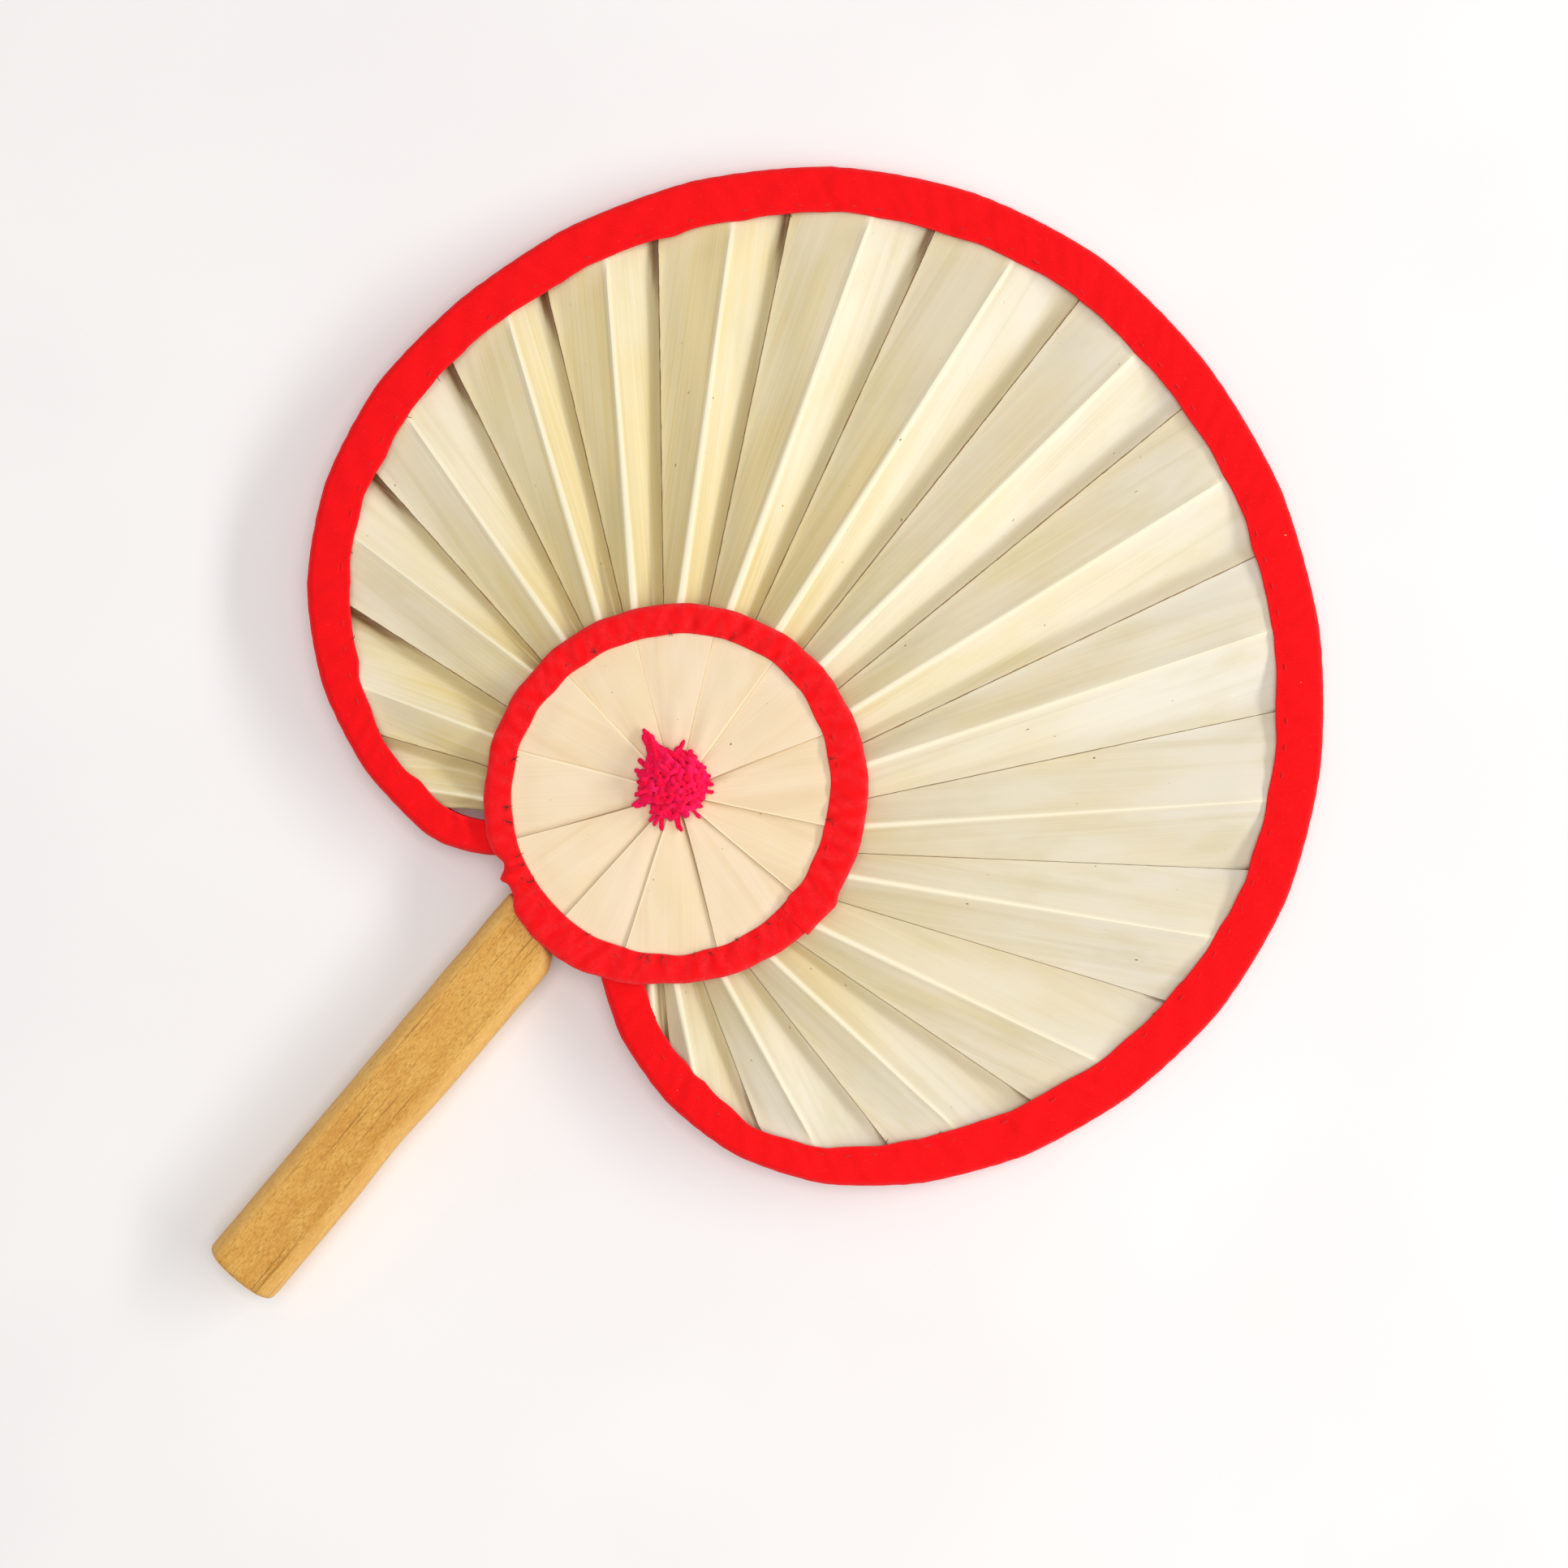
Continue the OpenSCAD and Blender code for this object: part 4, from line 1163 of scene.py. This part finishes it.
def tie_paths():
    """Four strands down through the wedges, wound into a flat knot under them."""
    made = []
    for k in range(4):
        t = np.linspace(0, 1, 12)
        turn = 2 * pi * (k / 4 + 0.8 * t)
        strand = at_rosette(0.95 * np.sin(turn), 0.95 * np.cos(turn), mix(POMPOM_Z + 0.6, FRONT_Z - 0.4, t))
        made.append((strand, np.full(12, 0.62)))
    t = np.linspace(0, 1, 40)
    turn = 2 * pi * 2.2 * t
    radius = mix(2.7, 1.5, t)
    knot = at_rosette(radius * np.sin(turn), radius * np.cos(turn), FRONT_Z - 0.62 + 0.1 * np.sin(7 * turn))
    made.append((knot, np.full(40, 0.5)))
    return made


add_tubes("pompom_tie_yarn", tie_paths(), YARN, ["pompom_tie"], 8)


def back_knot_paths():
    """A flat trefoil knot with two short cut ends, and the strands that lead up from it."""
    t = np.linspace(0, 2 * pi, 70)
    ring = 2.0 + 0.9 * np.cos(1.5 * t)
    knot = at_rosette(ring * np.cos(t), ring * np.sin(t), 1.05 + 0.22 * np.sin(4.5 * t))
    made = [(knot, np.full(70, 0.52))]
    for side in (-1, 1):
        s = np.linspace(0, 1, 12)
        end = at_rosette(side * (1.0 + 4.2 * s), 1.6 * np.sin(2.2 * s) * side, 1.0 + 0.15 * np.sin(pi * s))
        made.append((end, yarn_radii(12, 0.5)))
        rise = at_rosette(0.8 * side * np.cos(2 * s), 0.8 * np.sin(2 * s), mix(1.1, 3.2, s))
        made.append((rise, np.full(12, 0.55)))
    return made


add_tubes("back_knot_yarn", back_knot_paths(), YARN, ["back_knot"], 8)


# ---------- handle ----------

def rounded_section(x0, x1, z0, z1, r):
    """Points round a rounded rectangle, and how near each lies to a corner."""
    corners = ((x1 - r, z1 - r, 0), (x1 - r, z0 + r, 1), (x0 + r, z0 + r, 2), (x0 + r, z1 - r, 3))
    points, rub = [], []
    for x, z, quarter in corners:
        for t in np.linspace(0, 1, 9):
            turn = (quarter + t) * pi / 2
            points.append((x + r * np.sin(turn), z + r * np.cos(turn)))
            rub.append(np.sin(pi * t) ** 0.7)
        nxt = corners[(quarter + 1) % 4]
        start = np.array(points[-1])
        turn = (quarter + 1) * pi / 2
        stop = np.array((nxt[0] + r * np.sin(turn), nxt[1] + r * np.cos(turn)))
        for t in np.linspace(0, 1, 8)[1:-1]:
            points.append(tuple(mix(start, stop, t)))
            rub.append(0.0)
    return np.array(points), np.array(rub)


def grip_side(y):
    """Half width of the grip's +X side, which is a little hollow near the middle."""
    return GRIP_W / 2 - 0.8 * np.exp(-((y + 8) / 14) ** 2)


def slanted(x, y):
    """Shifts points near the shoulder, which reaches further on the -X side."""
    near = smooth((y - GRIP_L / 2 + 12) / 10.8) * (y < GRIP_L / 2 + 0.02)
    return y - SHOULDER_SLANT * x / GRIP_W * near


def grip_places():
    """Pairs of y and inset from the grip's outline, from the butt to the shoulder, with both ends rounded."""
    butt, shoulder = -GRIP_L / 2, GRIP_L / 2
    made = []
    for t in np.linspace(0, pi / 2, 7)[::-1]:
        made.append((butt + BUTT_ROUND * (1 - np.sin(t)), BUTT_ROUND * (1 - np.cos(t))))
    straight_end = shoulder - SHOULDER_ROUND
    for y in np.linspace(butt + BUTT_ROUND, straight_end, 70)[1:]:
        made.append((y, 0.0))
    for t in np.linspace(0, pi / 2, 6)[1:]:
        made.append((straight_end + SHOULDER_ROUND * np.sin(t), SHOULDER_ROUND * (1 - np.cos(t))))
    return made


def grip_rings():
    """Rings of points along the grip, and their wear: rubbed edge and end grain."""
    rings, marks = [], []
    cut, cut_l = SHOULDER_CUT
    for y, inset in grip_places():
        points, rub = rounded_section(-GRIP_W / 2 + inset + 0.10 * wave(y, 26, 91), grip_side(y) - inset,
                                      inset * 0.8, GRIP_T - inset * 0.8, CORNER_R - inset * 0.5)
        x, z = points[:, 0], points[:, 1]
        near = np.clip((y - GRIP_L / 2 + 7) / cut_l, 0, 0.98)
        x = x - cut * (1 - np.sqrt(1 - near ** 2)) * smooth((x - 2) / 9)
        bow = -BUTT_BULGE * (1 - (x / 9) ** 2) * smooth((-GRIP_L / 2 + 4 - y) / 4)
        bow = np.clip(bow, -BUTT_BULGE, 0.6)
        rings.append(np.column_stack([x, slanted(x, y + bow), z]))
        end = np.full(len(x), 1.0 if inset > 0.9 else 0.0)
        marks.append(np.column_stack([rub, end, 0 * x]))
    return rings, marks


def butt_rings(edge):
    """Rings that close the butt inside its edge, on a slightly bulged face of end grain."""
    centre = np.array([0, -GRIP_L / 2 - BUTT_BULGE, GRIP_T / 2])
    rings = []
    for t in (0.25, 0.5, 0.75, 0.92):
        ring = mix(centre, edge, t)
        ring[:, 1] = -GRIP_L / 2 - BUTT_BULGE * (1 - (ring[:, 0] / 9) ** 2).clip(0, 1)
        rings.append(ring)
    return rings, [np.array([[0.0, 1.0, 0.0]] * len(edge))] * len(rings), centre


def tongue_rings():
    """Rings along the thin tongue, from the shoulder's face to its rounded tip."""
    step, tip = GRIP_L / 2, 6
    places = [(step, 0.0), (step + 0.01, 0.0)]
    places += [(step + y, 0.0) for y in np.linspace(4, TONGUE_L - tip, 18)]
    places += [(step + TONGUE_L - tip + tip * np.sin(t), tip * (1 - np.cos(t)))
               for t in np.linspace(0.15, 1.45, 8)]
    rings, marks = [], []
    for y, inset in places:
        points, rub = rounded_section(-TONGUE_W / 2 + inset, TONGUE_W / 2 - inset, *TONGUE_Z, 1.0)
        x, z = points[:, 0], points[:, 1]
        rings.append(np.column_stack([x, slanted(x, np.full(len(x), y)), z]))
        marks.append(np.column_stack([0.4 * rub, 0 * rub, 0 * rub]))
    return rings, marks


def add_handle():
    """One closed piece: end grain, grip, the shoulder's face and the tongue."""
    grip, grip_marks = grip_rings()
    butt, butt_marks, centre = butt_rings(grip[0])
    tongue, tongue_marks = tongue_rings()
    rings = butt + grip + tongue
    size = len(grip[0])
    points = np.concatenate(rings + [centre[None, :], np.mean(rings[-1], axis=0)[None, :]])
    marks = np.concatenate(butt_marks + grip_marks + tongue_marks + [np.array([[0, 1, 0], [0, 0, 0]])])
    faces = ring_faces(len(rings), size) + cap_faces(len(rings), size)
    add_mesh("handle_wood", points, faces, WOOD, ["handle"], {"wear": marks}, 50)


add_handle()


# ---------- CAD parts that stay, with their own materials ----------

def repaint(node, material):
    """Gives a CAD node a material of its own."""
    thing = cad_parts[node]
    if not thing.material_slots:
        thing.data.materials.append(material)
    for place in thing.material_slots:
        place.material = material


repaint("leaf_base", STALK)
repaint("tacks", STEEL)


# ---------- table, light and camera ----------

def add_floor():
    mesh = bpy.data.meshes.new("table_top")
    corners = [(-3, -3, 0), (3, -3, 0), (3, 3, 0), (-3, 3, 0)]
    mesh.from_pydata(corners, [], [(0, 1, 2, 3)])
    mesh.materials.append(floor_paint())
    floor = bpy.data.objects.new("table_top", mesh)
    bpy.context.scene.collection.objects.link(floor)


def aim(thing, target):
    thing.rotation_euler = (Vector(target) - thing.location).to_track_quat("-Z", "Y").to_euler()


VIEW_TURN = 40.2                # the picture's upward direction, turned from +Y towards -X
VIEW_CENTRE = (28.2, 142.1, 8.0)
VIEW_WIDTH = 448


def in_view(right, up, height):
    """A place given by its distances right and up in the picture from its middle, in metres."""
    turn = radians(VIEW_TURN)
    x = VIEW_CENTRE[0] * MM + right * np.cos(turn) - up * np.sin(turn)
    y = VIEW_CENTRE[1] * MM + right * np.sin(turn) + up * np.cos(turn)
    return Vector((x, y, height))


def add_light(name, right, up, height, size, power, colour):
    lamp = bpy.data.lights.new(name, "AREA")
    lamp.shape = "RECTANGLE"
    lamp.size, lamp.size_y = size
    lamp.energy = power
    lamp.color = colour
    light = bpy.data.objects.new(name, lamp)
    light.location = in_view(right, up, height)
    bpy.context.scene.collection.objects.link(light)
    aim(light, in_view(0, 0, 0))


def add_world():
    world = bpy.data.worlds.new("soft_studio")
    world.use_nodes = True
    back = world.node_tree.nodes["Background"]
    back.inputs["Color"].default_value = (1.0, 0.985, 0.98, 1.0)
    back.inputs["Strength"].default_value = 0.37
    bpy.context.scene.world = world


def add_camera():
    lens, sensor = 70, 36
    data = bpy.data.cameras.new("camera")
    data.lens = lens
    data.sensor_width = sensor
    camera = bpy.data.objects.new("camera", data)
    distance = VIEW_WIDTH * lens / sensor
    camera.location = (VIEW_CENTRE[0] * MM, VIEW_CENTRE[1] * MM, (VIEW_CENTRE[2] + distance) * MM)
    camera.rotation_euler = (0, 0, radians(VIEW_TURN))
    bpy.context.scene.collection.objects.link(camera)
    bpy.context.scene.camera = camera


add_floor()
add_world()
add_light("window_light", 1.6, -0.1, 0.87, (2.4, 0.28), 23, (1.0, 0.985, 0.96))
add_light("ceiling_light", 0.0, 0.0, 2.0, (1.5, 1.5), 20.5, (1.0, 0.99, 0.985))
add_camera()
bpy.context.scene.view_settings.view_transform = "Standard"
